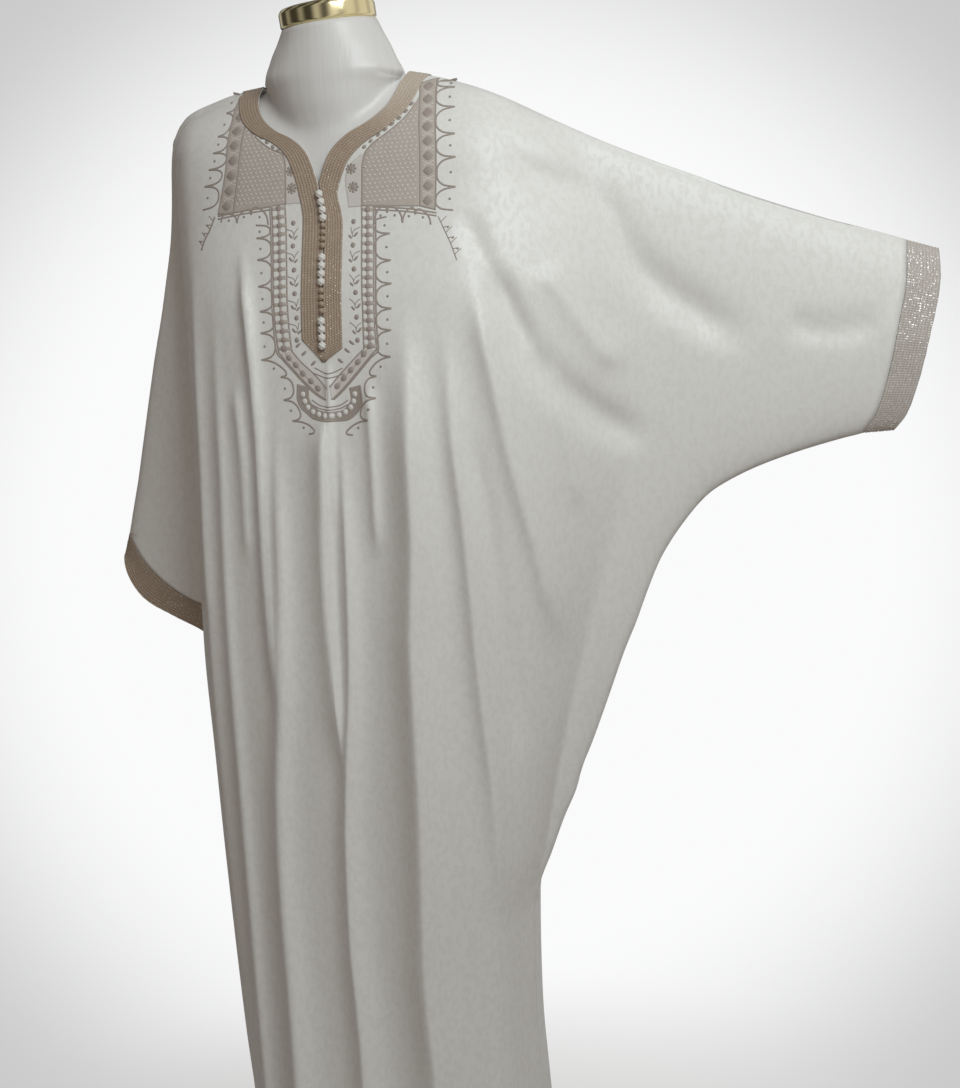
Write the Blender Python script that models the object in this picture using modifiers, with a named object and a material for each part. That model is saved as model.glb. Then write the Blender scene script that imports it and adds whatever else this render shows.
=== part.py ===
"""A batwing jubba with a braided neck, worn by a limbless dress form on a round stand.

Metres, +Z up. The origin is on the floor under the form's pole, the garment faces -Y, and +X is its
left arm, which is on the right of a viewer. The cloth is two panels, front and back, each cut in one
with its sleeves. Each is a sheet of points (x, z) seen from the front, and pushed forward or back of
the seams' own sheet by a half depth, which is that of the body's rings joined softly to the thin
lens of a sleeve.
"""
import math

import bmesh
import bpy
import numpy as np
from mathutils import Matrix, Vector

# Cloth
WALL = 0.0015
SEAM_GAP = 0.0003
SEAM_TURN = 0.0016
TURN_STEP = 0.00005
CUFF_STEP = 0.006
TOP_ROW_STEP = 0.004
TOP_ROW_LEAN = 5
HEM_HEIGHT = 0.050
SHOULDER_HEIGHT = 1.458
SLIT_TOP = 1.338
SLIT_FOOT = 1.172
SLIT_HALF = 0.0006
WING_TURN = math.radians(15.5)
WING_ROOT = 0.190
WING_BEND = 0.030
LEFT_SET_BACK = 0.016
LEFT_SET_START = 0.160
LEFT_SET_RUN = 0.070
SEAM_SOFTNESS = 0.060
FOLD_CALM = 0.035
FOLD_START = 0.22
CHEST_SQUARENESS = 3.0
JOIN_POWER = 3.0

# Braid and buttons
BRAID_COLUMNS = (0.0, 0.008, 0.016, 0.024)
BRAID_THICK = 0.0012
CUFF_PROUD = 0.0004
CUFF_GAP = 0.0008
KNOT_RADIUS = 0.0041
LOOP_RADIUS = 0.0030
KNOT_FLATNESS = 0.85
WHITE_RUNS = ((1.3268, 4), (1.2580, 4), (1.1900, 4))
BEIGE_RUNS = ((1.2925, 4), (1.2225, 4))
WHITE_PITCH = 0.0087
BEIGE_PITCH = 0.0072

# Form and stand
FORM_FOOT = 0.780
NECK_TOP = 1.517
NECK_FORWARD = 0.008
NECK_TILT = math.radians(7)
NECK_SIDE_TILT = math.radians(3.5)
FORM_EASE = 0.0009
FORM_SIDE_EASE = 0.010
FORM_DROP = 0.0034
FORM_THINNEST = 0.001
CAP_RADIUS = 0.054
CAP_HEIGHT = 0.022
POLE_RADIUS = 0.0125
BASE_RADIUS = 0.180
BASE_THICK = 0.012

# Rings of the cloth: half widths to the left and right of the pole, depths in front and behind, and
# how the flanks fall: 0.33 is round and closed, above 1 is a long slope out to the sleeve.
BODY_RINGS = (
    # height, left, right, front, back, left flank, right flank
    (1.458, 0.086, 0.086, 0.002, 0.056, 0.40, 0.40),
    (1.447, 0.127, 0.127, 0.020, 0.062, 0.40, 0.41),
    (1.436, 0.158, 0.160, 0.030, 0.067, 0.40, 0.43),
    (1.424, 0.185, 0.193, 0.038, 0.072, 0.40, 0.47),
    (1.410, 0.196, 0.215, 0.048, 0.078, 0.38, 0.56),
    (1.390, 0.199, 0.245, 0.060, 0.087, 0.36, 0.70),
    (1.360, 0.200, 0.280, 0.069, 0.095, 0.36, 0.85),
    (1.330, 0.199, 0.300, 0.074, 0.100, 0.36, 1.00),
    (1.300, 0.197, 0.325, 0.080, 0.103, 0.36, 1.15),
    (1.260, 0.195, 0.345, 0.092, 0.105, 0.38, 1.25),
    (1.210, 0.193, 0.355, 0.105, 0.105, 0.40, 1.30),
    (1.150, 0.193, 0.355, 0.112, 0.106, 0.42, 1.30),
    (1.060, 0.194, 0.340, 0.117, 0.110, 0.42, 1.25),
    (0.950, 0.198, 0.305, 0.120, 0.118, 0.40, 1.10),
    (0.830, 0.198, 0.262, 0.123, 0.126, 0.36, 0.85),
    (0.700, 0.192, 0.226, 0.125, 0.128, 0.34, 0.60),
    (0.580, 0.187, 0.198, 0.126, 0.128, 0.33, 0.42),
    (0.500, 0.183, 0.179, 0.127, 0.128, 0.33, 0.33),
    (0.360, 0.175, 0.175, 0.129, 0.129, 0.33, 0.33),
    (0.260, 0.168, 0.179, 0.131, 0.130, 0.33, 0.33),
    (0.050, 0.167, 0.188, 0.137, 0.136, 0.33, 0.33),
)

# Half depth of a sleeve lying flat between its seams
SLEEVE_FULLNESS = (
    # x, half depth
    (-0.320, 0.024),
    (-0.250, 0.019),
    (-0.190, 0.018),
    (0.000, 0.018),
    (0.200, 0.020),
    (0.420, 0.020),
    (0.560, 0.025),
    (0.650, 0.029),
)

# Seams and edges as seen from the front, in (x, z)
NECKLINE = (
    (0.087, 1.458), (0.084, 1.445), (0.080, 1.432), (0.0725, 1.418), (0.0535, 1.401),
    (0.033, 1.390), (0.0205, 1.380), (0.012, 1.369), (0.006, 1.355), (0.0006, 1.338),
)
BACK_NECKLINE = ((0.087, 1.458), (0.076, 1.448), (0.052, 1.441), (0.026, 1.437), (0.0, 1.436))
CENTRE_SHIFT = ((1.338, 0.0), (1.300, 0.007), (1.150, 0.008), (0.950, 0.002), (0.05, 0.0))
LEFT_SHOULDER = ((-0.087, 1.458), (-0.120, 1.455), (-0.153, 1.447), (-0.184, 1.437), (-0.199, 1.426))
LEFT_OVERARM = (
    (-0.199, 1.426), (-0.210, 1.408), (-0.2155, 1.380), (-0.2185, 1.346), (-0.2245, 1.300),
    (-0.2350, 1.253), (-0.2460, 1.207), (-0.2560, 1.172), (-0.2665, 1.130), (-0.2825, 1.064),
    (-0.2940, 1.016), (-0.3060, 0.973), (-0.3115, 0.952), (-0.3200, 0.926),
)
LEFT_SIDE = (
    (-0.2000, 0.856), (-0.1985, 0.820), (-0.1935, 0.700), (-0.1885, 0.600), (-0.1835, 0.480),
    (-0.1785, 0.390), (-0.1690, 0.260), (-0.1680, 0.050),
)
LEFT_CUFF_SEAM = (
    (-0.3115, 0.952), (-0.2890, 0.918), (-0.2640, 0.893), (-0.2340, 0.871), (-0.2030, 0.856),
)
LEFT_CUFF_EDGE = (
    (-0.3200, 0.926), (-0.3125, 0.903), (-0.2925, 0.874), (-0.2530, 0.849), (-0.2240, 0.833),
    (-0.2030, 0.818),
)
LEFT_UNDERCUFF = ((-0.2030, 0.856), (-0.2030, 0.818))
RIGHT_OVERARM = (
    (0.087, 1.458), (0.116, 1.4515), (0.150, 1.4405), (0.184, 1.4265), (0.235, 1.400), (0.292, 1.370),
    (0.344, 1.346), (0.396, 1.324), (0.448, 1.301), (0.522, 1.274), (0.575, 1.258), (0.614, 1.245),
    (0.648, 1.234),
)
RIGHT_UNDERARM = (
    (0.596, 1.035), (0.562, 1.034), (0.538, 1.029), (0.494, 1.018), (0.450, 1.004), (0.422, 0.992),
    (0.396, 0.977), (0.369, 0.949), (0.339, 0.905), (0.323, 0.869), (0.309, 0.833), (0.295, 0.801),
    (0.275, 0.748), (0.254, 0.694), (0.242, 0.666), (0.234, 0.640), (0.219, 0.607), (0.203, 0.566),
    (0.188, 0.530), (0.180, 0.500),
)
RIGHT_SIDE = ((0.180, 0.500), (0.177, 0.430), (0.176, 0.360), (0.180, 0.260), (0.189, 0.050))
RIGHT_CUFF_SEAM = (
    (0.614, 1.245), (0.6125, 1.200), (0.605, 1.160), (0.592, 1.100), (0.577, 1.055), (0.562, 1.034),
)
RIGHT_CUFF_EDGE = (
    (0.648, 1.234), (0.649, 1.205), (0.646, 1.180), (0.638, 1.145), (0.626, 1.097), (0.611, 1.055),
    (0.596, 1.035),
)

# Folds: a straight crest from top to low, and its width and rise; a hollow has a rise below zero
FRONT_FOLDS = (
    # top x, top z, low x, low z, width, rise
    (-0.089, 1.290, -0.079, 0.960, 0.013, 0.006),
    (-0.150, 1.060, -0.150, 0.000, 0.020, 0.009),
    (-0.112, 1.000, -0.118, 0.000, 0.016, -0.010),
    (-0.082, 1.000, -0.086, 0.720, 0.012, 0.006),
    (-0.056, 1.050, -0.060, 0.000, 0.019, 0.012),
    (-0.020, 0.960, -0.020, 0.000, 0.016, -0.010),
    (0.014, 1.150, 0.022, 0.000, 0.017, 0.010),
    (0.070, 1.080, 0.055, 0.000, 0.024, -0.012),
    (0.112, 1.240, 0.100, 0.000, 0.018, 0.012),
    (0.145, 1.000, 0.134, 0.000, 0.015, -0.010),
    (0.152, 1.250, 0.175, 0.850, 0.016, 0.007),
    (0.186, 1.244, 0.336, 1.030, 0.022, -0.008),
    (0.190, 1.360, 0.457, 1.133, 0.026, -0.007),
    (0.208, 1.100, 0.239, 0.850, 0.020, 0.007),
)
BACK_FOLDS = (
    # top x, top z, low x, low z, width, rise
    (-0.140, 1.250, -0.140, 0.000, 0.020, 0.009),
    (-0.098, 1.150, -0.104, 0.000, 0.018, -0.010),
    (-0.060, 1.200, -0.064, 0.000, 0.020, 0.011),
    (-0.018, 1.050, -0.022, 0.000, 0.018, -0.010),
    (0.022, 1.180, 0.018, 0.000, 0.019, 0.010),
    (0.064, 1.080, 0.058, 0.000, 0.018, -0.011),
    (0.108, 1.220, 0.098, 0.000, 0.020, 0.011),
    (0.146, 1.020, 0.136, 0.000, 0.015, -0.009),
    (0.170, 1.300, 0.330, 1.020, 0.024, -0.008),
    (0.200, 1.360, 0.470, 1.130, 0.026, 0.006),
)

# Rings of the form under the shoulders, where the cloth hangs free of it
FORM_RINGS = (
    # height, half width, front, back
    (0.780, 0.158, 0.094, 0.104),
    (0.860, 0.170, 0.098, 0.112),
    (0.950, 0.164, 0.094, 0.100),
    (1.060, 0.130, 0.086, 0.080),
    (1.150, 0.130, 0.090, 0.082),
    (1.210, 0.144, 0.092, 0.090),
    (1.260, 0.152, 0.083, 0.094),
    (1.300, 0.161, 0.074, 0.096),
    (1.330, 0.172, 0.070, 0.0955),
)
FORM_TOP_OF_FREE = 1.345
FORM_FLANK = 0.40
# The neck's root over the shoulders, in the same columns
NECK_ROOT = (
    (1.462, 0.0680, 0.001, 0.044),
    (1.470, 0.0560, 0.001, 0.038),
    (1.485, 0.0450, 0.001, 0.032),
    (1.530, 0.0350, 0.001, 0.028),
)
NECK_ROOT_HEIGHT = 1.460
NECK_POWER = 12
MIDDLE_REACH = math.radians(60)
MIDDLE_SHARE = 0.455
NECK_RINGS = (
    # height, half width, half depth
    (1.340, 0.040, 0.030),
    (1.390, 0.054, 0.048),
    (1.410, 0.062, 0.053),
    (1.430, 0.068, 0.0565),
    (1.445, 0.0735, 0.0573),
    (1.4546, 0.0795, 0.0575),
    (1.460, 0.0816, 0.0572),
    (1.466, 0.0795, 0.0567),
    (1.474, 0.0752, 0.0560),
    (1.488, 0.0685, 0.0549),
    (1.501, 0.0610, 0.0539),
    (1.517, 0.0530, 0.0530),
)
FORM_HEIGHTS = (
    0.780, 0.820, 0.870, 0.930, 0.990, 1.050, 1.110, 1.160, 1.210, 1.255, 1.295, 1.330, 1.360, 1.382,
    1.399, 1.412, 1.422, 1.431, 1.440, 1.449, 1.4546, 1.460, 1.467, 1.478, 1.494, 1.517,
)
FORM_SIDES = 44

# Heights of the rows of points, from the shoulder to the hem, by their places on the centre line
NECK_ROWS = 7
SLIT_ROWS = 6
BUST_ROWS = 5
CUFF_ROWS = 6
SKIRT_ROWS = 7
LEG_ROWS = 6
LEFT_CUFF_HEIGHTS = (0.952, 0.856)
UNDERARM_FOOT = 0.500
BODY_COLUMNS = {True: 13, False: 8}
FLANK_STEPS = (0.004, 0.008, 0.0115)
FLANK_SHARE = 0.85
SLEEVE_COLUMNS = (0.45, 0.85)
WING_COLUMNS = {True: 19, False: 11}
SEAM_WALL_SHARE = 0.1
NOSE_ROOM = 0.012

MATERIALS = {
    # name: colour, roughness, metallic
    "ivory_cloth": ((0.66, 0.63, 0.58, 1.0), 0.50, 0.0),
    "taupe_braid": ((0.42, 0.32, 0.24, 1.0), 0.55, 0.0),
    "ivory_silk": ((0.78, 0.74, 0.67, 1.0), 0.45, 0.0),
    "gloss_form": ((0.72, 0.71, 0.69, 1.0), 0.18, 0.0),
    "polished_brass": ((0.78, 0.60, 0.28, 1.0), 0.18, 1.0),
}


def through(at, knots, values):
    """Smooth curve through the knots: cubic pieces whose slope at a knot is the harmonic mean of the
    two chords beside it, or level where they turn, so that it never overshoots."""
    knots = np.asarray(knots, float)
    values = np.asarray(values, float)
    chord = np.diff(values) / np.diff(knots)
    slope = np.zeros(len(knots))
    slope[0], slope[-1] = chord[0], chord[-1]
    before, after = chord[:-1], chord[1:]
    turns = before * after <= 0
    total = np.where(turns, 1.0, before + after)
    slope[1:-1] = np.where(turns, 0.0, 2 * before * after / total)
    k = np.clip(np.searchsorted(knots, at) - 1, 0, len(knots) - 2)
    width = knots[k + 1] - knots[k]
    t = np.clip((at - knots[k]) / width, 0, 1)
    rise = values[k + 1] - values[k]
    start, end = slope[k] * width, slope[k + 1] * width
    return values[k] + start * t + (3 * rise - 2 * start - end) * t**2 + (start + end - 2 * rise) * t**3


def ring_value(height, column, rings=BODY_RINGS):
    """One column of a ring table at any height."""
    table = np.array(sorted(rings))
    return through(height, table[:, 0], table[:, column])


def along(points, parts):
    """Points at these parts of a line's length, on the smooth curve through its points."""
    points = np.array(points, float)
    run = np.concatenate([[0], np.cumsum(np.linalg.norm(np.diff(points, axis=0), axis=1))])
    at = np.asarray(parts) * run[-1]
    return np.stack([through(at, run, points[:, 0]), through(at, run, points[:, 1])], axis=-1)


def seam_distance(x, z, line):
    """Distance in the front view from each point to a seam, the nearest of its straight pieces."""
    line = along(line, np.linspace(0, 1, 40))
    nearest = np.full(np.shape(x), 9.0)
    for (ax, az), (bx, bz) in zip(line[:-1], line[1:]):
        dx, dz = bx - ax, bz - az
        part = np.clip(((x - ax) * dx + (z - az) * dz) / (dx * dx + dz * dz), 0, 1)
        nearest = np.minimum(nearest, np.hypot(x - ax - part * dx, z - az - part * dz))
    return nearest


def closed_seam_distance(x, z):
    """Distance to the nearest seam that joins front and back: shoulder, overarm, underarm, side."""
    lines = (LEFT_SHOULDER, LEFT_OVERARM, LEFT_SIDE, RIGHT_OVERARM, RIGHT_UNDERARM, RIGHT_SIDE)
    distances = [seam_distance(x, z, line) for line in lines]
    undercuff = seam_distance(x, z, LEFT_UNDERCUFF)
    distances.append(np.where(x < LEFT_UNDERCUFF[0][0], undercuff, 9.0))
    return np.min(distances, axis=0)


def seam_sheet(x):
    """How far back the seams lie: the right sleeve is held out and back, the left hangs a little back."""
    out = x - WING_ROOT
    bend = out + np.sqrt(out**2 + WING_BEND**2) - WING_BEND / 3
    right = math.tan(WING_TURN) * bend / 2
    step = np.clip((-x - LEFT_SET_START) / LEFT_SET_RUN, 0, 1)
    return np.maximum(right, 0) + LEFT_SET_BACK * step**2 * (3 - 2 * step)


def fold_rise(x, z, folds):
    """Sum of the folds: each a bell across its crest, which starts softly over a fifth of its length."""
    total = np.zeros(np.shape(x))
    for top_x, top_z, low_x, low_z, width, rise in folds:
        dx, dz = low_x - top_x, low_z - top_z
        length = math.hypot(dx, dz)
        run = ((x - top_x) * dx + (z - top_z) * dz) / length**2
        across = ((x - top_x) * dz - (z - top_z) * dx) / length
        start = np.clip(run / FOLD_START, 0, 1)
        finish = np.clip((1 - run) / FOLD_START, 0, 1) if low_z > 0 else 1.0
        total += rise * start**2 * (3 - 2 * start) * finish * np.exp(-((across / width) ** 2))
    return total


def half_depth(x, z, front):
    """Half depth of the garment: the body's ring joined to the sleeve's lens by a power sum, with the
    seam allowance's turn and the folds added away from the seams."""
    reach = np.where(x < 0, ring_value(z, 1), ring_value(z, 2))
    flank = np.where(x < 0, ring_value(z, 5), ring_value(z, 6))
    depth = ring_value(z, 3 if front else 4)
    across = np.clip(np.abs(x) / reach, 0, 1)
    body = depth * (1 - across**CHEST_SQUARENESS) ** flank
    distance = closed_seam_distance(x, z)
    places, fullness = np.array(SLEEVE_FULLNESS).T
    sleeve = through(x, places, fullness) * np.sqrt(1 - np.exp(-distance / SEAM_SOFTNESS))
    joined = (body**JOIN_POWER + sleeve**JOIN_POWER) ** (1 / JOIN_POWER)
    calm = 1 - np.exp(-((distance / FOLD_CALM) ** 2))
    return joined + SEAM_TURN + calm * fold_rise(x, z, FRONT_FOLDS if front else BACK_FOLDS)


def eased(count):
    """Parts from 0 to 1 that crowd at both ends, as a half turn seen from the side."""
    return 0.5 - 0.5 * np.cos(np.linspace(0, math.pi, count + 1))


def centre_rows():
    """Heights of the rows under the neck: the slit, the bust, past the left cuff, the skirt, the hem."""
    cuff_top, cuff_foot = LEFT_CUFF_HEIGHTS
    stops = (SLIT_TOP, SLIT_FOOT, cuff_top, cuff_foot, UNDERARM_FOOT, HEM_HEIGHT)
    counts = (SLIT_ROWS, BUST_ROWS, CUFF_ROWS, SKIRT_ROWS, LEG_ROWS)
    rows = [np.linspace(a, b, n + 1)[1:] for a, b, n in zip(stops, stops[1:], counts)]
    rows[2] = cuff_top + (cuff_foot - cuff_top) * eased(CUFF_ROWS)[1:]
    return np.concatenate(rows)


def inner_edge(front, side):
    """The neckline from the shoulder down, then the slit and the centre line, in (x, z)."""
    neck = along(NECKLINE if front else BACK_NECKLINE, np.linspace(0, 1, NECK_ROWS + 1))
    if not front:
        stretch = (neck[-1, 1] - HEM_HEIGHT) / (SLIT_TOP - HEM_HEIGHT)
        centre = HEM_HEIGHT + (centre_rows() - HEM_HEIGHT) * stretch
        line = np.stack([np.zeros(len(centre)), centre], axis=1)
        rows = np.concatenate([neck, line])
        return rows * (side, 1)
    heights = centre_rows()
    knots, shifts = np.array(sorted(CENTRE_SHIFT)).T
    middle = through(heights, knots, shifts)
    opening = np.where(heights > SLIT_FOOT - 0.001, SLIT_HALF, 0.0)
    line = np.stack([middle + side * opening, heights], axis=1)
    return np.concatenate([neck * (side, 1), line])


def cuff_seam(side):
    """Points of the seam between a sleeve and its cuff, where the panel's rows meet it."""
    if side > 0:
        return along(RIGHT_CUFF_SEAM, eased(NECK_ROWS))
    seam = np.array(LEFT_CUFF_SEAM)[::-1]
    top, foot = LEFT_CUFF_HEIGHTS
    level = top + (foot - top) * eased(CUFF_ROWS)
    return np.stack([through(level, seam[:, 1], seam[:, 0]), level], axis=1)


def outer_edge(side, heights):
    """The far end of each row: the left one is level with its row, the right one runs round the
    cuff's seam and the underarm before it is level too."""
    count = len(heights)
    if side < 0:
        top = LEFT_OVERARM[0][1]
        span = (SHOULDER_HEIGHT - heights) / (SHOULDER_HEIGHT - SLIT_TOP)
        level = np.where(heights > SLIT_TOP, top + (SLIT_TOP - top) * span, heights)
        arm = np.array(LEFT_OVERARM[:-1])[::-1]
        cuff = np.array(LEFT_CUFF_SEAM)[::-1]
        hip = np.array(LEFT_SIDE)[::-1]
        x = through(level, arm[:, 1], arm[:, 0])
        x = np.where(level < LEFT_CUFF_HEIGHTS[0], through(level, cuff[:, 1], cuff[:, 0]), x)
        x = np.where(level < LEFT_CUFF_HEIGHTS[1] + 0.001, through(level, hip[:, 1], hip[:, 0]), x)
        return np.stack([x, level], axis=1)
    under = int(np.argmin(np.abs(heights - UNDERARM_FOOT)))
    cuff = cuff_seam(side)
    arm = along(RIGHT_UNDERARM[1:], np.linspace(0, 1, under - NECK_ROWS + 1)[1:])
    hip = np.array(RIGHT_SIDE)[::-1]
    low = heights[under + 1:count]
    leg = np.stack([through(low, hip[:, 1], hip[:, 0]), low], axis=1)
    return np.concatenate([cuff, arm, leg])


def panel_half(front, side):
    """Grid of (x, z) over half a panel. Each row is a line from the inner edge to the outer edge that
    leans on the shoulder's seam near the top. Returns it with a mask of the closed outer edge."""
    inner = inner_edge(front, side)
    heights = inner_edge(True, side)[:, 1]
    outer = outer_edge(side, heights)
    seam = LEFT_SHOULDER if side < 0 else RIGHT_OVERARM[:-1]
    dense = np.linspace(0, 1, 160)
    top = along(seam, dense)
    chord = top[0] + (top[-1] - top[0]) * dense[:, None]
    # The first row is doubled a hair lower, which turns the cloth over into the seam
    inner = np.concatenate([inner[:1], inner[:1] + (inner[1] - inner[0]) * TOP_ROW_STEP, inner[1:]])
    outer = np.concatenate([outer[:1], outer[:1] + (outer[1] - outer[0]) * TOP_ROW_STEP, outer[1:]])
    rows = []
    count = len(inner)
    for i in range(count):
        lean = (1 - i / (count - 1)) ** TOP_ROW_LEAN
        line = inner[i] + (outer[i] - inner[i]) * dense[:, None] + (top - chord) * lean
        run = np.concatenate([[0], np.cumsum(np.linalg.norm(np.diff(line, axis=0), axis=1))])
        cuff_top, cuff_foot = LEFT_CUFF_HEIGHTS
        on_left_cuff = cuff_foot + 0.001 < outer[i, 1] < cuff_top - 0.001
        cuff_row = on_left_cuff if side < 0 else 1 < i <= NECK_ROWS
        last = CUFF_STEP if cuff_row else TURN_STEP
        if side < 0:
            reach = ring_value(outer[i, 1], 1)
            nose = run[-1] - abs(outer[i, 0]) + min(reach, abs(outer[i, 0])) - NOSE_ROOM
            swing = np.sin(np.linspace(0, math.pi / 2, BODY_COLUMNS[front] + 1)[1:])
            body = BRAID_COLUMNS[-1] + (nose - BRAID_COLUMNS[-1]) * swing
            room = run[-1] - last - nose
            flank = nose + np.array(FLANK_STEPS) * min(1.0, room * FLANK_SHARE / FLANK_STEPS[-1])
            arm = flank[-1] + (run[-1] - last - flank[-1]) * np.array(SLEEVE_COLUMNS + (1.0,))
            at = np.concatenate([BRAID_COLUMNS, body, flank, arm, run[-1:]])
        else:
            ease = np.linspace(0, 1, WING_COLUMNS[front] + 1)[1:]
            ease = ease + 0.11 * np.sin(2 * math.pi * ease) * np.clip(ease * 2 - 0.9, 0, 1)
            far = BRAID_COLUMNS[-1] + (run[-1] - last - BRAID_COLUMNS[-1]) * np.clip(ease, 0, 1)
            far = np.concatenate([far[:-1], [run[-1] - last]])
            at = np.concatenate([BRAID_COLUMNS, far, run[-1:]])
        rows.append(np.stack([np.interp(at, run, line[:, 0]), np.interp(at, run, line[:, 1])], axis=1))
    grid = np.array(rows)
    if side < 0:
        height = grid[:, -1, 1]
        closed = (height > LEFT_CUFF_HEIGHTS[0] - 0.001) | (height < LEFT_CUFF_HEIGHTS[1] + 0.001)
    else:
        closed = np.arange(count) > NECK_ROWS
    return grid, closed


def panel_points(front, side):
    """The half panel's outer points in space. Closed edges stop short of the seam's sheet."""
    grid, closed = panel_half(front, side)
    x, z = grid[..., 0], grid[..., 1]
    half = half_depth(x, z, front)
    half[0, :] = SEAM_GAP / 2
    half[closed, -1] = SEAM_GAP / 2
    y = seam_sheet(x) + (-half if front else half)
    return np.stack([x, y, z], axis=-1), closed


def make_material(name):
    colour, roughness, metallic = MATERIALS[name]
    material = bpy.data.materials.get(name) or bpy.data.materials.new(name)
    material.use_nodes = True
    shader = material.node_tree.nodes["Principled BSDF"]
    shader.inputs["Base Color"].default_value = colour
    shader.inputs["Roughness"].default_value = roughness
    shader.inputs["Metallic"].default_value = metallic
    return material


def make_object(name, points, faces, material, collection):
    mesh = bpy.data.meshes.new(name)
    mesh.from_pydata([tuple(p) for p in points], [], faces)
    mesh.update()
    mesh.materials.append(make_material(material))
    mesh.shade_smooth()
    mesh.set_sharp_from_angle(angle=math.radians(40))
    item = bpy.data.objects.new(name, mesh)
    collection.objects.link(item)
    return item


def grid_faces(rows, columns, flip, start=0):
    """Quads of a grid of points stored row by row."""
    faces = []
    for i in range(rows - 1):
        for j in range(columns - 1):
            a = start + i * columns + j
            quad = (a, a + columns, a + columns + 1, a + 1)
            faces.append(quad[::-1] if flip else quad)
    return faces


def thicken(item, thickness, outward=False, thin=()):
    """Wall of one thickness, but for the thin points beside a seam, which get a share of it."""
    solid = item.modifiers.new("wall", "SOLIDIFY")
    if len(thin):
        group = item.vertex_groups.new(name="full_wall")
        group.add(range(len(item.data.vertices)), 1.0, "REPLACE")
        group.add([int(i) for i in thin], 0.0, "REPLACE")
        solid.vertex_group = group.name
        solid.thickness_vertex_group = SEAM_WALL_SHARE
    solid.thickness = thickness
    solid.offset = 1.0 if outward else -1.0
    solid.use_rim = True


def make_panel(name, front, collection):
    """Front or back: two half grids, whose centre columns are one below the slit."""
    points, faces, thin = [], [], []
    shared = {}
    for side in (-1, 1):
        half, closed = panel_points(front, side)
        rows, columns = half.shape[:2]
        number = np.arange(len(points), len(points) + rows * columns).reshape(rows, columns)
        thin += list(number[0]) + list(number[closed, -1])
        faces += grid_faces(rows, columns, flip=(side < 0) == front, start=len(points))
        points += list(half.reshape(-1, 3))
        first = NECK_ROWS + SLIT_ROWS + 2 if front else NECK_ROWS + 1
        for row in range(first, rows):
            shared.setdefault(row, []).append(int(number[row, 0]))
    points, faces, thin = join_centre(points, faces, thin, shared)
    item = make_object(name, points, faces, "ivory_cloth", collection)
    thicken(item, WALL, thin=thin)
    return item


def join_centre(points, faces, thin, shared):
    """Use the left half's centre points in the right half too, and drop the right half's own."""
    same = {right: left for left, right in shared.values()}
    kept = [i for i in range(len(points)) if i not in same]
    place = {old: new for new, old in enumerate(kept)}
    number = {i: place[same.get(i, i)] for i in range(len(points))}
    faces = [tuple(number[i] for i in face) for face in faces]
    return [points[i] for i in kept], faces, sorted({number[int(i)] for i in thin})


def outward_normals(points, sign):
    """Unit normals of a grid of points, from the steps to its neighbours along rows and columns."""
    down = np.gradient(points, axis=0)
    across = np.gradient(points, axis=1)
    normal = np.cross(down, across) * sign
    return normal / np.linalg.norm(normal, axis=-1, keepdims=True)


def make_braid(name, front, side, collection):
    """A strip on the panel along the neck and slit, made from the panel's own first columns."""
    points = panel_points(front, side)[0][1:, :len(BRAID_COLUMNS)]
    last = NECK_ROWS + SLIT_ROWS if front else NECK_ROWS
    strip = points[:last + 1]
    normal = outward_normals(points, side if front else -side)[:last + 1]
    raised = strip + normal * SEAM_GAP
    rows, columns = raised.shape[:2]
    faces = grid_faces(rows, columns, flip=(side < 0) == front)
    flat = list(raised.reshape(-1, 3))
    if front:
        flat, faces = point_the_foot(flat, faces, points, columns, last, side)
    item = make_object(name, flat, faces, "taupe_braid", collection)
    thicken(item, BRAID_THICK, outward=True)
    return item


def point_the_foot(flat, faces, points, columns, last, side):
    """Two small faces that carry the strip's foot down to a point beside the centre line."""
    above, below = points[last, 0], points[last + 1, 0]
    tip = above + (below - above) * 0.62
    tip = tip + np.array([side * SLIT_HALF * 0.5, -SEAM_GAP, 0])
    start = last * columns
    flat = flat + [tip]
    for j in range(columns - 1):
        corner = (start + j, len(flat) - 1, start + j + 1)
        faces.append(corner[::-1] if side < 0 else corner)
    return flat, faces


def make_back_braid(collection):
    """The braid round the back of the neck: the two halves of its strip as one grid."""
    left = panel_points(False, -1)[0][1:NECK_ROWS + 2, :len(BRAID_COLUMNS)]
    right = panel_points(False, 1)[0][1:NECK_ROWS + 2, :len(BRAID_COLUMNS)]
    strip = np.concatenate([left, right[::-1][1:]])
    normal = outward_normals(strip, 1)
    raised = strip + normal * SEAM_GAP
    rows, columns = raised.shape[:2]
    faces = grid_faces(rows, columns, flip=False)
    item = make_object("braid_back", list(raised.reshape(-1, 3)), faces, "taupe_braid", collection)
    thicken(item, BRAID_THICK, outward=True)
    return item


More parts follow.
